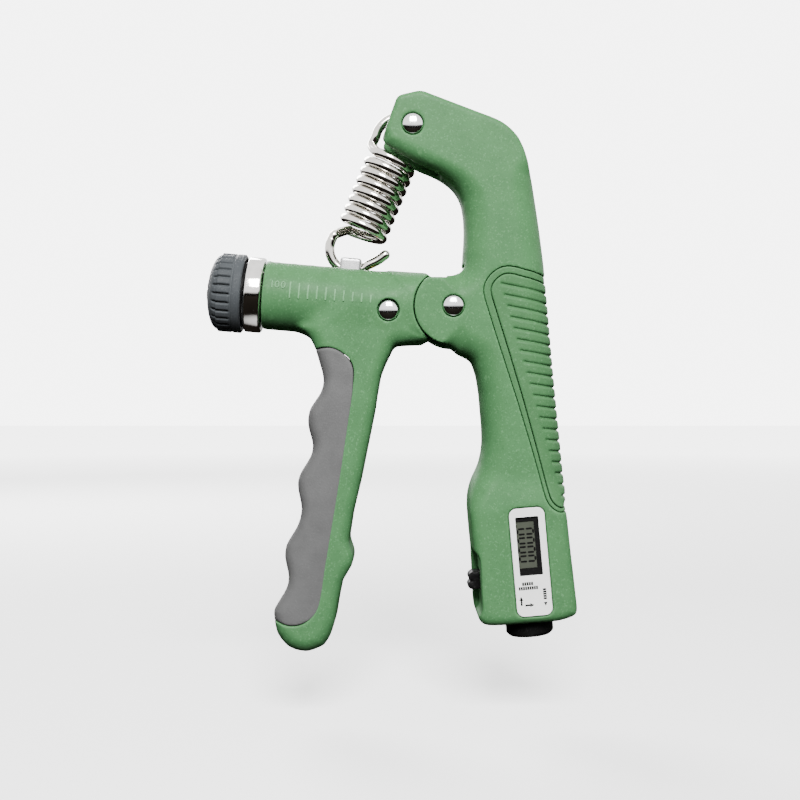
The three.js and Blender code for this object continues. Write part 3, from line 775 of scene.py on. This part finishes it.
def ring_lathe(profile, origin, axis, segments):
    """A turned mesh with a hole through it: the profile goes round and closes on itself."""
    points, _ = lathe(profile, origin, axis, segments)
    faces = tube_faces(len(profile) + 1, segments, False)
    return points, [[i % len(points) for i in face] for face in faces]


def wire(path, radius, segments=20):
    """Round wire along a path, with rounded ends."""
    path = np.array(path, float)
    tangent = np.gradient(path, axis=0)
    tangent /= np.linalg.norm(tangent, axis=1)[:, None]
    side, _ = across(tangent[0])
    angle = 2 * math.pi * np.arange(segments) / segments
    caps = [(-math.cos(a) * radius, math.sin(a) * radius) for a in np.linspace(0.15, math.pi / 2, 5)]
    rings = []
    for i, (point, ahead) in enumerate(zip(path, tangent)):
        side = side - ahead * side.dot(ahead)
        side /= np.linalg.norm(side)
        stations = [(0, radius)]
        if i == 0:
            stations = caps
        if i == len(path) - 1:
            stations = [(-offset, r) for offset, r in caps[::-1]]
        for offset, r in stations:
            rings.append(turned(point + ahead * offset, side, np.cross(ahead, side), r, angle))
    return np.concatenate(rings), tube_faces(len(rings), segments)


def bend(points, spacing=0.5):
    """A smooth curve through the points, evenly stepped."""
    points = np.array(points, float)
    padded = np.concatenate([2 * points[:1] - points[1:2], points, 2 * points[-1:] - points[-2:-1]])
    result = []
    for a, b, c, d in zip(padded, padded[1:], padded[2:], padded[3:]):
        count = max(2, int(np.linalg.norm(c - b) / spacing))
        for t in np.arange(count) / count:
            result.append(0.5 * (2 * b + (c - a) * t + (2 * a - 5 * b + 4 * c - d) * t * t
                                 + (3 * b - a - 3 * c + d) * t ** 3))
    return np.array(result + [points[-1]])


def circle(centre, radius, start, end, count):
    """Points of an arc in the X-Z plane, angles in degrees."""
    angles = np.radians(np.linspace(start, end, count))
    return [(centre[0] + radius * math.cos(a), 0.0, centre[2] + radius * math.sin(a)) for a in angles]


# ---- more materials

KNOB_GREY = moulded_plastic("knob_plastic", (0.049, 0.054, 0.058), roughness=0.5, grain=0.3, speckle=0.35)
BLACK = moulded_plastic("black_plastic", (0.006, 0.006, 0.006), 0.35, 0.3, 0.02, 0.3, shine=0.04)
CHROME = plated_metal("rivet_chrome", (0.80, 0.80, 0.81), 0.10)
COLLAR_CHROME = plated_metal("collar_chrome", (0.80, 0.78, 0.75), 0.07, (1, 14, 14))
SPRING_NICKEL = plated_metal("spring_nickel", (0.78, 0.75, 0.70), 0.08)
STEEL = plated_metal("turned_steel", (0.45, 0.45, 0.45), 0.32, relief=0.008)
BRASS = plated_metal("brass", (0.55, 0.38, 0.13), 0.3, relief=0.008)


# ---- rivets

HEAD_R = 2.85
HEAD_RISE = 0.95
SHANK_R = {"pivot_pin": 2.2, "spring_pin": 1.6, "bearing_pin": 1.6}


def rivet(node, centre, half, body):
    """A domed head on a shank, and a domed cap on the back."""
    origin = (centre[0], 0, centre[2])
    shank = SHANK_R[node]
    seat = half - RIVET_SEAT_DEPTH + 0.1
    dome = [(0.25 - half - HEAD_RISE * math.cos(a), HEAD_R * math.sin(a)) for a in np.linspace(0, 1.35, 12)]
    rim = [(-half + 0.3, HEAD_R), (-seat, HEAD_R)]
    edge = eased([dome[-1]] + rim + [(-seat, shank)], 0.15)[1:]
    head = np.concatenate([dome, edge, [(seat, shank), (seat, 0)]])
    cap = np.array([(-u, r) for u, r in dome + rim + [(-seat - 0.2, 0)]])[::-1]
    for name, profile in ((node, head), (node + "_cap", cap)):
        mesh = lathe(profile, origin, Y_AXIS)
        make_piece(name + "_domed", mesh, CHROME, body, "rivet_chrome", name)


def rivets():
    rivet("pivot_pin", PIVOT, FRAME_HALF, "palm_handle")
    rivet("spring_pin", SPRING_PIN, FRAME_HALF, "palm_handle")
    rivet("bearing_pin", BEARING_PIN, GRIP_HALF, "finger_handle")


# ---- barrel: collar, knob, screw, slider

COLLAR_R = 10.65
SLEEVE_R = 7.0          # the part of the collar inside the barrel
COLLAR_BORE = 3.4
KNOB_R = 11.15
KNURLS = 28
KNURL_DEPTH = 0.85
SCREW_R = 2.8
SCREW_END = 33.0
THREAD_PITCH = 2.0
THREAD_DEPTH = 0.75
SLIDER_AT = 23.5


def collar():
    profile = eased([(-5.2, COLLAR_BORE), (-5.2, 10.1), (-4.7, COLLAR_R), (-0.75, COLLAR_R), (-0.35, 10.2),
                     (-0.35, SLEEVE_R), (1.2, SLEEVE_R), (1.2, COLLAR_BORE)], 0.25)
    mesh = ring_lathe(profile, BARREL_END, BARREL_AXIS, 120)
    make_piece("barrel_collar_plated", mesh, COLLAR_CHROME, "finger_handle", "collar_chrome",
               "barrel_collar")
    profile = eased([(-6.4, COLLAR_BORE), (-6.4, 9.2), (-5.45, 9.2), (-5.45, COLLAR_BORE)], 0.25)
    mesh = ring_lathe(profile, BARREL_END, BARREL_AXIS, 96)
    make_piece("knob_washer_moulded", mesh, BLACK, "finger_handle", "black_plastic", "knob_washer")


def knurled(rise, angle, radius):
    """Grooves between the ridges of the knob, and two fine rings round it."""
    if radius < 8:
        return np.full(angle.shape, max(radius, TIP_R))
    groove = np.exp(-(np.abs(np.cos(angle * KNURLS / 2)) / 0.36) ** 2)
    depth = KNURL_DEPTH * ramp(rise, -13.9, -13.3) * (1 - ramp(rise, -9.1, -8.7))
    lines = math.exp(-((rise + 8.5) / 0.22) ** 2) + math.exp(-((rise + 15.0) / 0.16) ** 2)
    return radius - depth * groove - 0.3 * lines


def knob():
    """A moulded knob with rounded ridges round its rim, which run out on the domed end."""
    dome = [(-12.6 - 3.55 * math.cos(a), 10.6 * math.sin(a)) for a in np.linspace(0.36, math.pi / 2, 18)]
    dish = [(-14.6, 0.0), (-14.6, 3.3), (-15.6, 3.75)]
    rim = np.concatenate([np.linspace((-12.4, KNOB_R), (-6.2, KNOB_R), 28),
                          eased([(-6.2, KNOB_R), (-5.8, KNOB_R - 0.5), (-5.8, 9.7)], 0.2)[1:],
                          [(-6.7, 9.6), (-6.7, 3.2), (-10.0, 3.2), (-10.0, 0)]])
    profile = np.concatenate([eased(dish + dome[:1], 0.3), dome, rim])
    mesh = lathe(profile, BARREL_END, BARREL_AXIS, 500, knurled)
    make_piece("adjuster_knob_knurled", mesh, KNOB_GREY, "knob", "knob_grey", "adjuster_knob")
    cap = np.array([(-16.45 + 0.9 * (r / 3.5) ** 2, r) for r in np.linspace(0, 3.45, 12)])
    profile = np.concatenate([cap, eased([cap[-1], (-15.2, 3.5), (-14.75, 3.5), (-14.75, 0)], 0.12)[1:]])
    mesh = lathe(profile, BARREL_END, BARREL_AXIS)
    make_piece("knob_cap_moulded", mesh, KNOB_GREY, "knob", "knob_grey", "knob_cap")


def threaded(rise, angle, radius):
    if radius == 0:
        return np.full(angle.shape, TIP_R)
    phase = (rise / THREAD_PITCH + angle / (2 * math.pi)) % 1
    runout = ramp(rise, SCREW_END - 0.8, SCREW_END)
    depth = THREAD_DEPTH * ramp(rise, 1, 2) * (1 - runout)
    return radius - depth * ramp(np.abs(2 * phase - 1), 0.25, 0.9) - 0.5 * runout


def screw():
    """The adjusting screw, with its thread from the collar to the tip."""
    start = -11.8
    stations = [(u, SCREW_R) for u in np.linspace(start, SCREW_END, 420)]
    mesh = lathe([(start, 0.0)] + stations + [(SCREW_END, 0.0)], BARREL_END, BARREL_AXIS, 40, threaded)
    make_piece("adjuster_screw_threaded", mesh, STEEL, "knob", "steel", "adjuster_screw")


def slider():
    """The nut in the bore, with the eye block that stands up through the slot."""
    space = space_round(["slider_nut"], FINE * 0.6, 1.0)
    u, n = barrel_axes(space)
    y = space.y
    drum = smooth_max(np.hypot(n, y) - 7.05, block((u, SLIDER_AT, 4.5)), 0.6)
    eye = smooth_max(block((u, SLIDER_AT, 3)), block((y, 0, 2.8)), 0.8)
    eye = smooth_max(eye, block((n, 8, 4.7)), 0.8)
    field = smooth_min(drum, eye, 0.6)
    field = smooth_max(field, 3.15 - np.hypot(n, y), 0.3)
    field = cut(field, block((y, 0, 1.6), (n, 9.45, 1.95)), 0.4)
    field_piece("slider_nut_cast", space, field, STEEL, "slider", "steel", "slider_nut")


# ---- spring

WIRE_R = 1.36
COIL_R = 6.05
COIL_PITCH = 2.9
COIL_TURNS = 8
SPLIT_TURN = 4.6
COIL_LEAN = math.radians(22.5)
COIL_AXIS = np.array((math.sin(COIL_LEAN), 0.0, math.cos(COIL_LEAN)))
COIL_FOOT = np.array((-25.9, 0.0, 20.8))
COIL_TOP = COIL_FOOT + COIL_AXIS * COIL_TURNS * COIL_PITCH
UPPER_LOOP = (-14.7, 0.0, 47.3)
UPPER_LOOP_R = 7.15
LOWER_LOOP_R = 6.4


def coil_room(space, swing):
    """The room round the top of the coils when the spring has swung outwards by this many degrees."""
    c, s = math.cos(math.radians(swing)), math.sin(math.radians(swing))

    def swung(v):
        return np.array((c * v[0] + s * v[2], 0, c * v[2] - s * v[0]))

    top = SPRING_PIN + swung(COIL_TOP - SPRING_PIN)
    axis = swung(COIL_AXIS)
    aside = np.hypot(along(space, top, np.cross(axis, Y_AXIS)), space.y)
    return np.maximum(aside - COIL_R - WIRE_R - 0.3, along(space, top, axis) - WIRE_R)


def coils(start, end):
    """Points of the helix between two turns."""
    side = np.array((COIL_AXIS[2], 0.0, -COIL_AXIS[0]))
    points = []
    for turns in np.linspace(start, end, int((end - start) * 40) + 1):
        angle = 2 * math.pi * turns
        round_axis = np.array(Y_AXIS) * math.sin(angle) - side * math.cos(angle)
        points.append(COIL_FOOT + COIL_AXIS * turns * COIL_PITCH + round_axis * COIL_R)
    return points


def spring_piece(name, path, body, node):
    make_piece(name, wire(path, WIRE_R), SPRING_NICKEL, body, "spring_steel", node)


def spring():
    """One wire in four stretches: a hook round the eye, two runs of coils, a hook over the pin."""
    loop = [(-19.0, 0, 15.2), (-21.2, 0, 13.6)] + circle(SPRING_EYE, LOWER_LOOP_R, 313, 140, 20)
    body = ("lower_hook", "lower_coils", SPRING_EYE, COIL_FOOT + COIL_AXIS)
    spring_piece("spring_hook_lower", bend(loop + coils(0.12, 0.3)), body, "spring_lower_hook")
    split = COIL_FOOT + COIL_AXIS * SPLIT_TURN * COIL_PITCH
    body = ("lower_coils", "upper_coils", COIL_FOOT, split)
    spring_piece("spring_coils_low", coils(0.28, SPLIT_TURN + 0.02), body, "spring_coils_lower")
    body = ("upper_coils", "upper_hook", split, COIL_TOP)
    path = coils(SPLIT_TURN - 0.02, COIL_TURNS - 0.2)
    spring_piece("spring_coils_high", path, body, "spring_coils_upper")
    hook = [(-22.7, 0, 46.3)] + circle(UPPER_LOOP, UPPER_LOOP_R, 168, -42, 26)
    lead_out = coils(COIL_TURNS - 0.22, COIL_TURNS - 0.12)
    spring_piece("spring_hook_upper", bend(lead_out + hook), "upper_hook", "spring_upper_hook")


# ---- counter

LABEL_FRONT = -11.5
LABEL_THICK = 0.5
LCD_SIZE = (6.4, 16.2)
LCD_MIDDLE = (-0.1, 4.4)
GLASS_MIDDLE = (-0.65, 4.75)
GLASS_FRONT = -10.5
# front and back of the black frame that stands in for the shade round the display window
SHADE_FRAME_DEPTHS = (-10.8, -10.2)


def tinted(name, size, low, high, a, b):
    """A recipe whose colour wanders between two tints, and that colour."""
    r = Recipe(name)
    return r, r.mix(r.band(r.noise(size, 3), low, high), (*a, 1), (*b, 1))


def label_paper():
    r, tint = tinted("label_white", 5, 0.3, 0.7, (0.95, 0.95, 0.94), (0.88, 0.88, 0.87))
    speck = r.band(r.noise(0.3, 2), 0.66, 0.8, 0, 0.25)
    r.set(Base_Color=r.mix(speck, tint, (0.55, 0.55, 0.55, 1)))
    r.set(Roughness=r.band(r.noise(2), 0.3, 0.7, 0.28, 0.4), Normal=r.bump(r.noise(0.5, 2), 0.01))
    return r.material


def display_glass():
    r, tint = tinted("display", 3, 0.3, 0.7, (0.058, 0.064, 0.050), (0.048, 0.053, 0.042))
    fleck = r.band(r.noise(0.25, 2), 0.6, 0.8, 0, 0.4)
    r.set(Base_Color=r.mix(fleck, tint, (0.075, 0.082, 0.066, 1)))
    r.set(Roughness=r.band(r.noise(2, 2), 0.3, 0.7, 0.1, 0.2), Normal=r.bump(r.noise(4, 2), 0.02))
    r.set(Specular_IOR_Level=0.1)
    return r.material


def circuit_lacquer():
    r, tint = tinted("circuit_board", 1.5, 0.4, 0.6, (0.012, 0.06, 0.02), (0.02, 0.09, 0.035))
    r.set(Base_Color=tint, Roughness=r.band(r.noise(1), 0.3, 0.7, 0.3, 0.5))
    r.set(Normal=r.bump(r.noise(0.8), 0.03))
    return r.material


def printed_ink(name, colour):
    r = Recipe(name)
    worn = r.band(r.noise(0.35, 3), 0.35, 0.7)
    r.set(Base_Color=r.mix(worn, tone(colour), tone(colour, 1.8)), Roughness=r.band(worn, 0, 1, 0.4, 0.6))
    r.set(Normal=r.bump(r.noise(0.3, 2), 0.01), Specular_IOR_Level=0.03)
    return r.material


LABEL_WHITE = label_paper()
DISPLAY = display_glass()
INK = printed_ink("ink", (0.005, 0.005, 0.005))
SEGMENT_INK = printed_ink("segment_ink", (0.003, 0.003, 0.003))
BOARD_GREEN = circuit_lacquer()
# The raised scale marks are a lighter green than the barrel: a painted highlight for the light their raised
# edges catch.
SCALE_GREEN = moulded_plastic("scale_green_painted_highlight", (0.095, 0.235, 0.105), speckle=0.3)


def counter_points(points):
    """Points (right, depth, up) in the frame of the counter."""
    turn = np.array((COUNTER_RIGHT, Y_AXIS, COUNTER_UP))
    return COUNTER_CENTRE * (1, 0, 1) + np.array(points, float) @ turn


def rounded_outline(size, radius, middle=(0.0, 0.0), steps=8):
    """A rounded rectangle as a list of (right, up), always with the same number of points."""
    points = []
    for quarter, (sx, sz) in enumerate(((1, 1), (-1, 1), (-1, -1), (1, -1))):
        for a in np.radians(90 * (quarter + np.arange(steps + 1) / steps)):
            points.append((middle[0] + sx * (size[0] / 2 - radius) + radius * math.cos(a),
                           middle[1] + sz * (size[1] / 2 - radius) + radius * math.sin(a)))
    return points


def layered(rings, closed=True):
    """A mesh from outlines at depths [(outline, y), ...], front to back."""
    points = [(x, y, z) for outline, y in rings for x, z in outline]
    faces = tube_faces(len(rings), len(rings[0][0]), closed)
    return counter_points(points), [face[::-1] for face in faces]


def eased_slab(size, radius, front, back, ease, middle=(0.0, 0.0)):
    """A rounded slab whose front edge is eased."""
    rings = []
    for a in np.linspace(0, math.pi / 2, 5):
        inset = ease * (1 - math.sin(a))
        inner_size = (size[0] - 2 * inset, size[1] - 2 * inset)
        outline = rounded_outline(inner_size, max(radius - inset, 0.05), middle)
        rings.append((outline, front + ease * (1 - math.cos(a))))
    return rings + [(rounded_outline(size, radius, middle), back)]


def label():
    """The white plate with a window for the display, closed into a ring."""
    back = LABEL_FRONT + LABEL_THICK
    window = [(rounded_outline(LCD_SIZE, 0.25, LCD_MIDDLE), y) for y in (back, LABEL_FRONT)]
    rings = window + eased_slab(LABEL_SIZE, 2.0, LABEL_FRONT, back, 0.15)
    make_piece("label_plate_windowed", layered(rings + window[:1], False), LABEL_WHITE, "palm_handle",
               "label_white", "label_plate", smooth=False)


def display():
    # A black frame round the display window, offset so that it is widest at the top, right and bottom:
    # painted shade for the shadow inside the recessed window.
    front, back = SHADE_FRAME_DEPTHS
    outer = rounded_outline((7.0, 16.9), 0.3, LCD_MIDDLE)
    inner = rounded_outline((4.95, 13.0), 0.15, GLASS_MIDDLE)
    rings = [(inner, back), (inner, front), (outer, front), (outer, back), (inner, back)]
    make_piece("display_painted_shade_frame", layered(rings, False), BLACK, "palm_handle", "black_plastic", smooth=False)
    mesh = layered(eased_slab((4.9, 12.95), 0.15, GLASS_FRONT, -6.6, 0.05, GLASS_MIDDLE))
    make_piece("display_cell", mesh, DISPLAY, "palm_handle", "display", "lcd_panel", smooth=False)


def joined(meshes):
    """One mesh from several."""
    points, faces = [], []
    for more, sides in meshes:
        faces.extend(tuple(i + len(points) for i in side) for side in sides)
        points.extend(more)
    return points, faces


def bars(name, marks, front, thickness, material, slot):
    """Small raised marks, each a convex outline of (right, up) corners."""
    meshes = [layered([(outline, front - thickness), (outline, front + 0.02)]) for outline in marks]
    make_piece(name, joined(meshes), material, "palm_handle", slot, smooth=False)


def bar(x, z, width, height):
    w, h = width / 2, height / 2
    return [(x - w, z - h), (x + w, z - h), (x + w, z + h), (x - w, z + h)]


def segment(start, end, half=0.25):
    """One stroke of a display digit, with pointed ends."""
    start, end = np.array(start), np.array(end)
    run = (end - start) / np.linalg.norm(end - start) * half
    out = np.array((-run[1], run[0]))
    return [start, start + run - out, end - run - out, end, end - run + out, start + run + out]


def digit_strokes(x, z):
    """A nought that lies on its side: two strokes across and two lengthwise, each in two halves."""
    long_half, short_half, gap = 2.15, 0.75, 0.14
    tall, wide = short_half - gap, long_half - gap
    strokes = [segment((x + end, z - tall), (x + end, z + tall)) for end in (-long_half, long_half)]
    for level in (z - short_half, z + short_half):
        strokes.append(segment((x - wide, level), (x - gap, level)))
        strokes.append(segment((x + gap, level), (x + wide, level)))
    return strokes


def word(x, z, length, upright=False):
    """A row of small blocks in place of a printed word."""
    count = round(length / 0.62)
    pitch = length / count
    offsets = [(i - (count - 1) / 2) * pitch for i in range(count)]
    size = pitch - 0.12
    if upright:
        return [bar(x, z + offset, 0.9, size) for offset in offsets]
    return [bar(x + offset, z, size, 0.9) for offset in offsets]


def arrow(x, z, turn):
    """A shaft and a head, pointing up and then turned, in degrees."""
    c, s = math.cos(math.radians(turn)), math.sin(math.radians(turn))
    shapes = [bar(0, -0.5, 0.44, 1.4), [(-0.55, 0.2), (0.55, 0.2), (0, 1.3)]]
    return [[(x + c * u - s * v, z + s * u + c * v) for u, v in shape] for shape in shapes]


def printing():
    digits = []
    for place in range(4):
        digits += digit_strokes(-0.7, 8.4 - 2.5 * place)
    bars("display_digits", digits, GLASS_FRONT, 0.04, SEGMENT_INK, "display")
    marks = word(-1.4, -5.9, 3.1) + word(-1.3, -7.1, 5.4) + word(3.1, -9.0, 3.1, True)
    marks += arrow(-3.5, -10.6, 0) + arrow(-1.35, -11.8, -90)
    marks.append([(3.1, -12.3), (3.6, -11.3), (2.6, -11.3)])
    bars("label_marks", marks, LABEL_FRONT, 0.03, INK, "black_plastic")


def barrel_stroke(u0, n0, u1, n1, width):
    """A raised stroke on the front of the barrel, from (u, n) to (u, n)."""
    start, end = np.array((u0, n0), float), np.array((u1, n1), float)
    run = (end - start) / np.linalg.norm(end - start)
    out = np.array((-run[1], run[0])) * width / 2
    steps = 9
    sunk = BARREL_R - 0.5
    lift = BARREL_R + 0.2 + 0.75 * ramp(u0, 17, 25)
    points = []
    for t in np.linspace(0, 1, steps):
        for side, radius in ((-1.0, sunk), (-0.75, lift), (0.75, lift), (1.0, sunk)):
            u, n = start + (end - start) * t + out * side
            depth = -math.sqrt(radius ** 2 - (n - TUBE_RISE) ** 2)
            points.append(BARREL_END + u * BARREL_AXIS + n * BARREL_UP + (0, depth, 0))
    return points, tube_faces(steps, 4)


def barrel_scale():
    """Ticks that grow shorter to the right, and the generic figure 100 at their start."""
    strokes = [(7.8 + 2.5 * i, -0.7 + 0.07 * i, 7.8 + 2.5 * i, 3.9 - 0.2 * i, 0.55) for i in range(10)]
    strokes.append((2.7, 1.8, 2.7, 3.9, 0.35))
    turns = np.linspace(0, 2 * math.pi, 9)
    for middle in (4.1, 5.8):
        ring = [(middle + 0.55 * math.cos(a), 2.85 + 0.9 * math.sin(a)) for a in turns]
        strokes += [(*a, *b, 0.32) for a, b in zip(ring, ring[1:])]
    mesh = joined([barrel_stroke(*stroke) for stroke in strokes])
    make_piece("barrel_scale", mesh, SCALE_GREEN, "finger_handle", "green_body", smooth=False)


# ---- trigger, reset button, rear cover

TRIGGER_HALF = 2.35     # half the trigger's height
COVER_SCREWS = (10.75, -15.75)


def trigger():
    """The black trigger: a rounded nose of two lobes, with a flange inside the wall."""
    space = space_round(["count_trigger"], FINE * 0.5, 0.8)
    w, h = counter_axes(space)
    h = h - TRIGGER_LEVEL
    y = space.y
    lobes = np.minimum(np.hypot(w + 15.9, h - 1.15), np.hypot(w + 16.2, h + 1.2)) - 1.25
    shank = block((w, -11.6, 4.2), (h, 0, TRIGGER_HALF), (y, 0, 3.3))
    nose = smooth_min(lobes, block((w, -11.5, 4.3), (h, 0, TRIGGER_HALF)), 0.8)
    nose = smooth_max(nose, block((y, 0, 3.4)), 0.9)
    flange = block((w, -7.6, 0.55), (y, 0, 4.2), (h, 0, 3.45))
    field = smooth_min(smooth_min(nose, shank, 0.3), flange, 0.3)
    field_piece("count_trigger_moulded", space, field, BLACK, "trigger", "black_plastic", "count_trigger")


def reset():
    """The black push button under the housing, with a shallow dish in its face."""
    base = COUNTER_CENTRE * (1, 0, 1) + RESET_AT * COUNTER_RIGHT
    skirt = [(13.2, 0), (13.2, 7.2), (14.15, 7.2), (14.2, 6.7), (20.9, 6.7), (21.9, 5.6), (21.75, 4.4)]
    dish = [(21.75 - 0.35 * (1 - (r / 4.4) ** 2), r) for r in np.linspace(4.0, 0, 8)]
    mesh = lathe(np.concatenate([eased(skirt, 0.5, 4), dish]), base, -COUNTER_UP, 96)
    make_piece("reset_button_moulded", mesh, BLACK, "reset", "black_plastic", "reset_button")


def press_spring(name, base, axis, fixed, moving, radius, turns, body):
    """A compression spring between the inside of the housing and the button."""
    side = np.cross(axis, Y_AXIS)
    path = []
    for t in np.linspace(0, 1, 24 * turns):
        a = 2 * math.pi * turns * t
        round_axis = math.cos(a) * np.array(Y_AXIS) + math.sin(a) * side
        path.append(base + axis * (fixed + (moving - fixed) * t) + radius * round_axis)
    ride = ("palm_handle", body, base + axis * fixed, base + axis * moving)
    make_piece(name + "_coil", wire(bend(path), 0.3), STEEL, ride, "steel", name)


def press_springs():
    middle = COUNTER_CENTRE * (1, 0, 1)
    base = middle + TRIGGER_LEVEL * COUNTER_UP
    press_spring("trigger_spring", base, COUNTER_RIGHT, -2.2, -6.3, 1.8, 3, "trigger")
    base = middle + RESET_AT * COUNTER_RIGHT
    press_spring("reset_spring", base, -COUNTER_UP, 9.6, 12.6, 3.0, 2, "reset")


def cover_screw(name, level):
    """A small round screw with a cross recess, standing at this level of the counter."""
    space = Space((-1.5, 7.6, -1.5), (1.5, 11.7, 1.5), FINE * 0.3)
    x, y, z = space.x, space.y, space.z
    radius = np.hypot(x, z)
    head = smooth_max(radius - 1.1, block((y, 10.6, 0.75)), 0.2)
    shank = np.maximum(radius - 0.6, block((y, 9.4, 1.4)))
    recess = np.minimum(block((x, 0, 0.18), (z, 0, 0.7)), block((z, 0, 0.18), (x, 0, 0.7)))
    field = np.maximum(np.minimum(head, shank), -np.maximum(recess, 10.8 - y))
    points, quads = skin(space, field)
    mesh = counter_points(points + (0, 0, level)), quads
    make_piece(name + "_cross", mesh, STEEL, "palm_handle", "steel", name)


def rear_cover():
    """The battery cover on the back, with two sunk screws."""
    space = space_round(["rear_cover"], FINE * 0.7, 0.8)
    w, h = counter_axes(space)
    plate = rounded_rectangle(w, h - COVER_LEVEL, COVER_SIZE, 2.8)
    field = smooth_max(plate, block((space.y, 10.7, 0.8)), 0.5)
    for level in COVER_SCREWS:
        field = smooth_max(field, 1.45 - np.hypot(w, h - level), 0.2)
    for rib in range(5):
        groove = block((h, 7.0 - 1.6 * rib, 0.35), (w, 0, 4.5))
        field = cut(field, np.maximum(groove, 11.0 - space.y), 0.4)
    field_piece("rear_cover_moulded", space, field, GREEN, "palm_handle", "green_body", "rear_cover")
    for number, level in enumerate(COVER_SCREWS, 1):
        cover_screw("cover_screw_%d" % number, level)


INNER_LOOKS = {"counter_board": BOARD_GREEN, "coin_cell": CHROME, "count_switch": BLACK,
               "pivot_bush": BRASS, "pivot_washer_front": STEEL, "pivot_washer_rear": STEEL,
               "screw_bearing_block": BRASS, "knob_screw": STEEL}


def inner_nodes():
    """The CAD pieces that stay, inside the handles, get the same materials as the rest."""
    for name, material in INNER_LOOKS.items():
        for slot in frame["nodes"][name].material_slots:
            slot.material = material


# ---- everything, piece by piece

for build in (palm_shell, palm_panel, palm_border, finger_shell, finger_pad, rivets, collar, knob, screw,
              slider, spring, barrel_scale, label, display, printing, trigger, reset, press_springs,
              rear_cover, inner_nodes):
    build()


# ---- stage

CAMERA_AT = (-14.8, -350.0, -26.1)
CAMERA_LENS = 55.35
SKY_LIGHT = 0.4
SKY_SEEN = 6.0
SKY_MIRRORED = 5.5
FLOOR_GLOW = 4.5
FLOOR_DROP = 0.02       # metres, clear of the handles in every pose
FLOOR_REACH = 4.0


def placed(name, data):
    """A new object in the scene."""
    thing = bpy.data.objects.new(name, data)
    bpy.context.scene.collection.objects.link(thing)
    return thing


def area_light(name, place, size, power):
    """A square soft light that faces the middle of the object."""
    lamp = bpy.data.lights.new(name, "AREA")
    lamp.shape = "RECTANGLE"
    lamp.size = lamp.size_y = size
    lamp.energy = power
    stand = placed(name, lamp)
    stand.location = place
    stand.rotation_euler = (-Vector(place)).to_track_quat("-Z", "Y").to_euler()


def studio_world():
    """White to the camera; dim as a light; for mirrors a bright sky over a dark horizon."""
    r = Recipe("studio", bpy.data.worlds, "Background")
    bpy.context.scene.world = r.material
    path = r.node("ShaderNodeLightPath").outputs
    place = r.node("ShaderNodeTexCoord").outputs["Generated"]
    height = r.fed("ShaderNodeSeparateXYZ", Vector=place)["Z"]
    sky = r.node("ShaderNodeValToRGB")
    below, above = sky.color_ramp.elements
    below.position = 0.50
    below.color = (0.03, 0.022, 0.016, 1)
    above.position = 0.55
    above.color = (SKY_MIRRORED, SKY_MIRRORED, SKY_MIRRORED, 1)
    r.link(r.band(height, -1, 1), sky.inputs["Fac"])
    r.set(Color=r.mix(path["Is Glossy Ray"], (1, 1, 1, 1), sky.outputs["Color"]))
    r.set(Strength=r.band(path["Is Camera Ray"], 0, 1, SKY_LIGHT, SKY_SEEN))


def pale_floor():
    """Pale to the camera, dark as a light; a mirror sees it pale only straight below."""
    r = Recipe("pale_floor")
    path = r.node("ShaderNodeLightPath").outputs
    seen = path["Is Camera Ray"]
    shape = r.node("ShaderNodeNewGeometry").outputs
    look = r.fed("ShaderNodeSeparateXYZ", Vector=shape["Incoming"])["Z"]
    away = r.node("ShaderNodeVectorMath", operation="LENGTH")
    r.link(shape["Position"], away.inputs[0])
    steep = r.product(path["Is Glossy Ray"], r.band(look, 0.90, 0.98))
    hidden = r.mix(steep, (0.006, 0.005, 0.004, 1), (0.45, 0.45, 0.45, 1))
    far = r.product(seen, r.band(away.outputs["Value"], 0.3, 1.8, 1.0, FLOOR_GLOW))
    r.set(Base_Color=r.mix(seen, hidden, (0.9, 0.9, 0.9, 1)), Roughness=0.9, Specular_IOR_Level=0.0)
    r.set(Emission_Color=(1, 1, 1, 1), Emission_Strength=far)
    return r.material


def stage():
    level = cad_bounds[0].z - FLOOR_DROP
    corners = [(x * FLOOR_REACH, y * FLOOR_REACH, level) for x, y in ((-1, -1), (1, -1), (1, 1), (-1, 1))]
    mesh = bpy.data.meshes.new("floor")
    mesh.from_pydata(corners, [], [(0, 1, 2, 3)])
    mesh.materials.append(pale_floor())
    placed("floor", mesh)
    studio_world()
    area_light("key", (0.05, -0.82, 0.56), 0.4, 29)
    area_light("back", (-0.35, 0.7, 0.5), 0.5, 14)
    lens = bpy.data.cameras.new("camera")
    lens.lens = CAMERA_LENS
    lens.sensor_width = 36
    camera = placed("camera", lens)
    camera.location = (np.array(CAMERA_AT) + ORIGIN) * MM
    camera.rotation_euler = (math.radians(90), 0, 0)
    bpy.context.scene.camera = camera


stage()
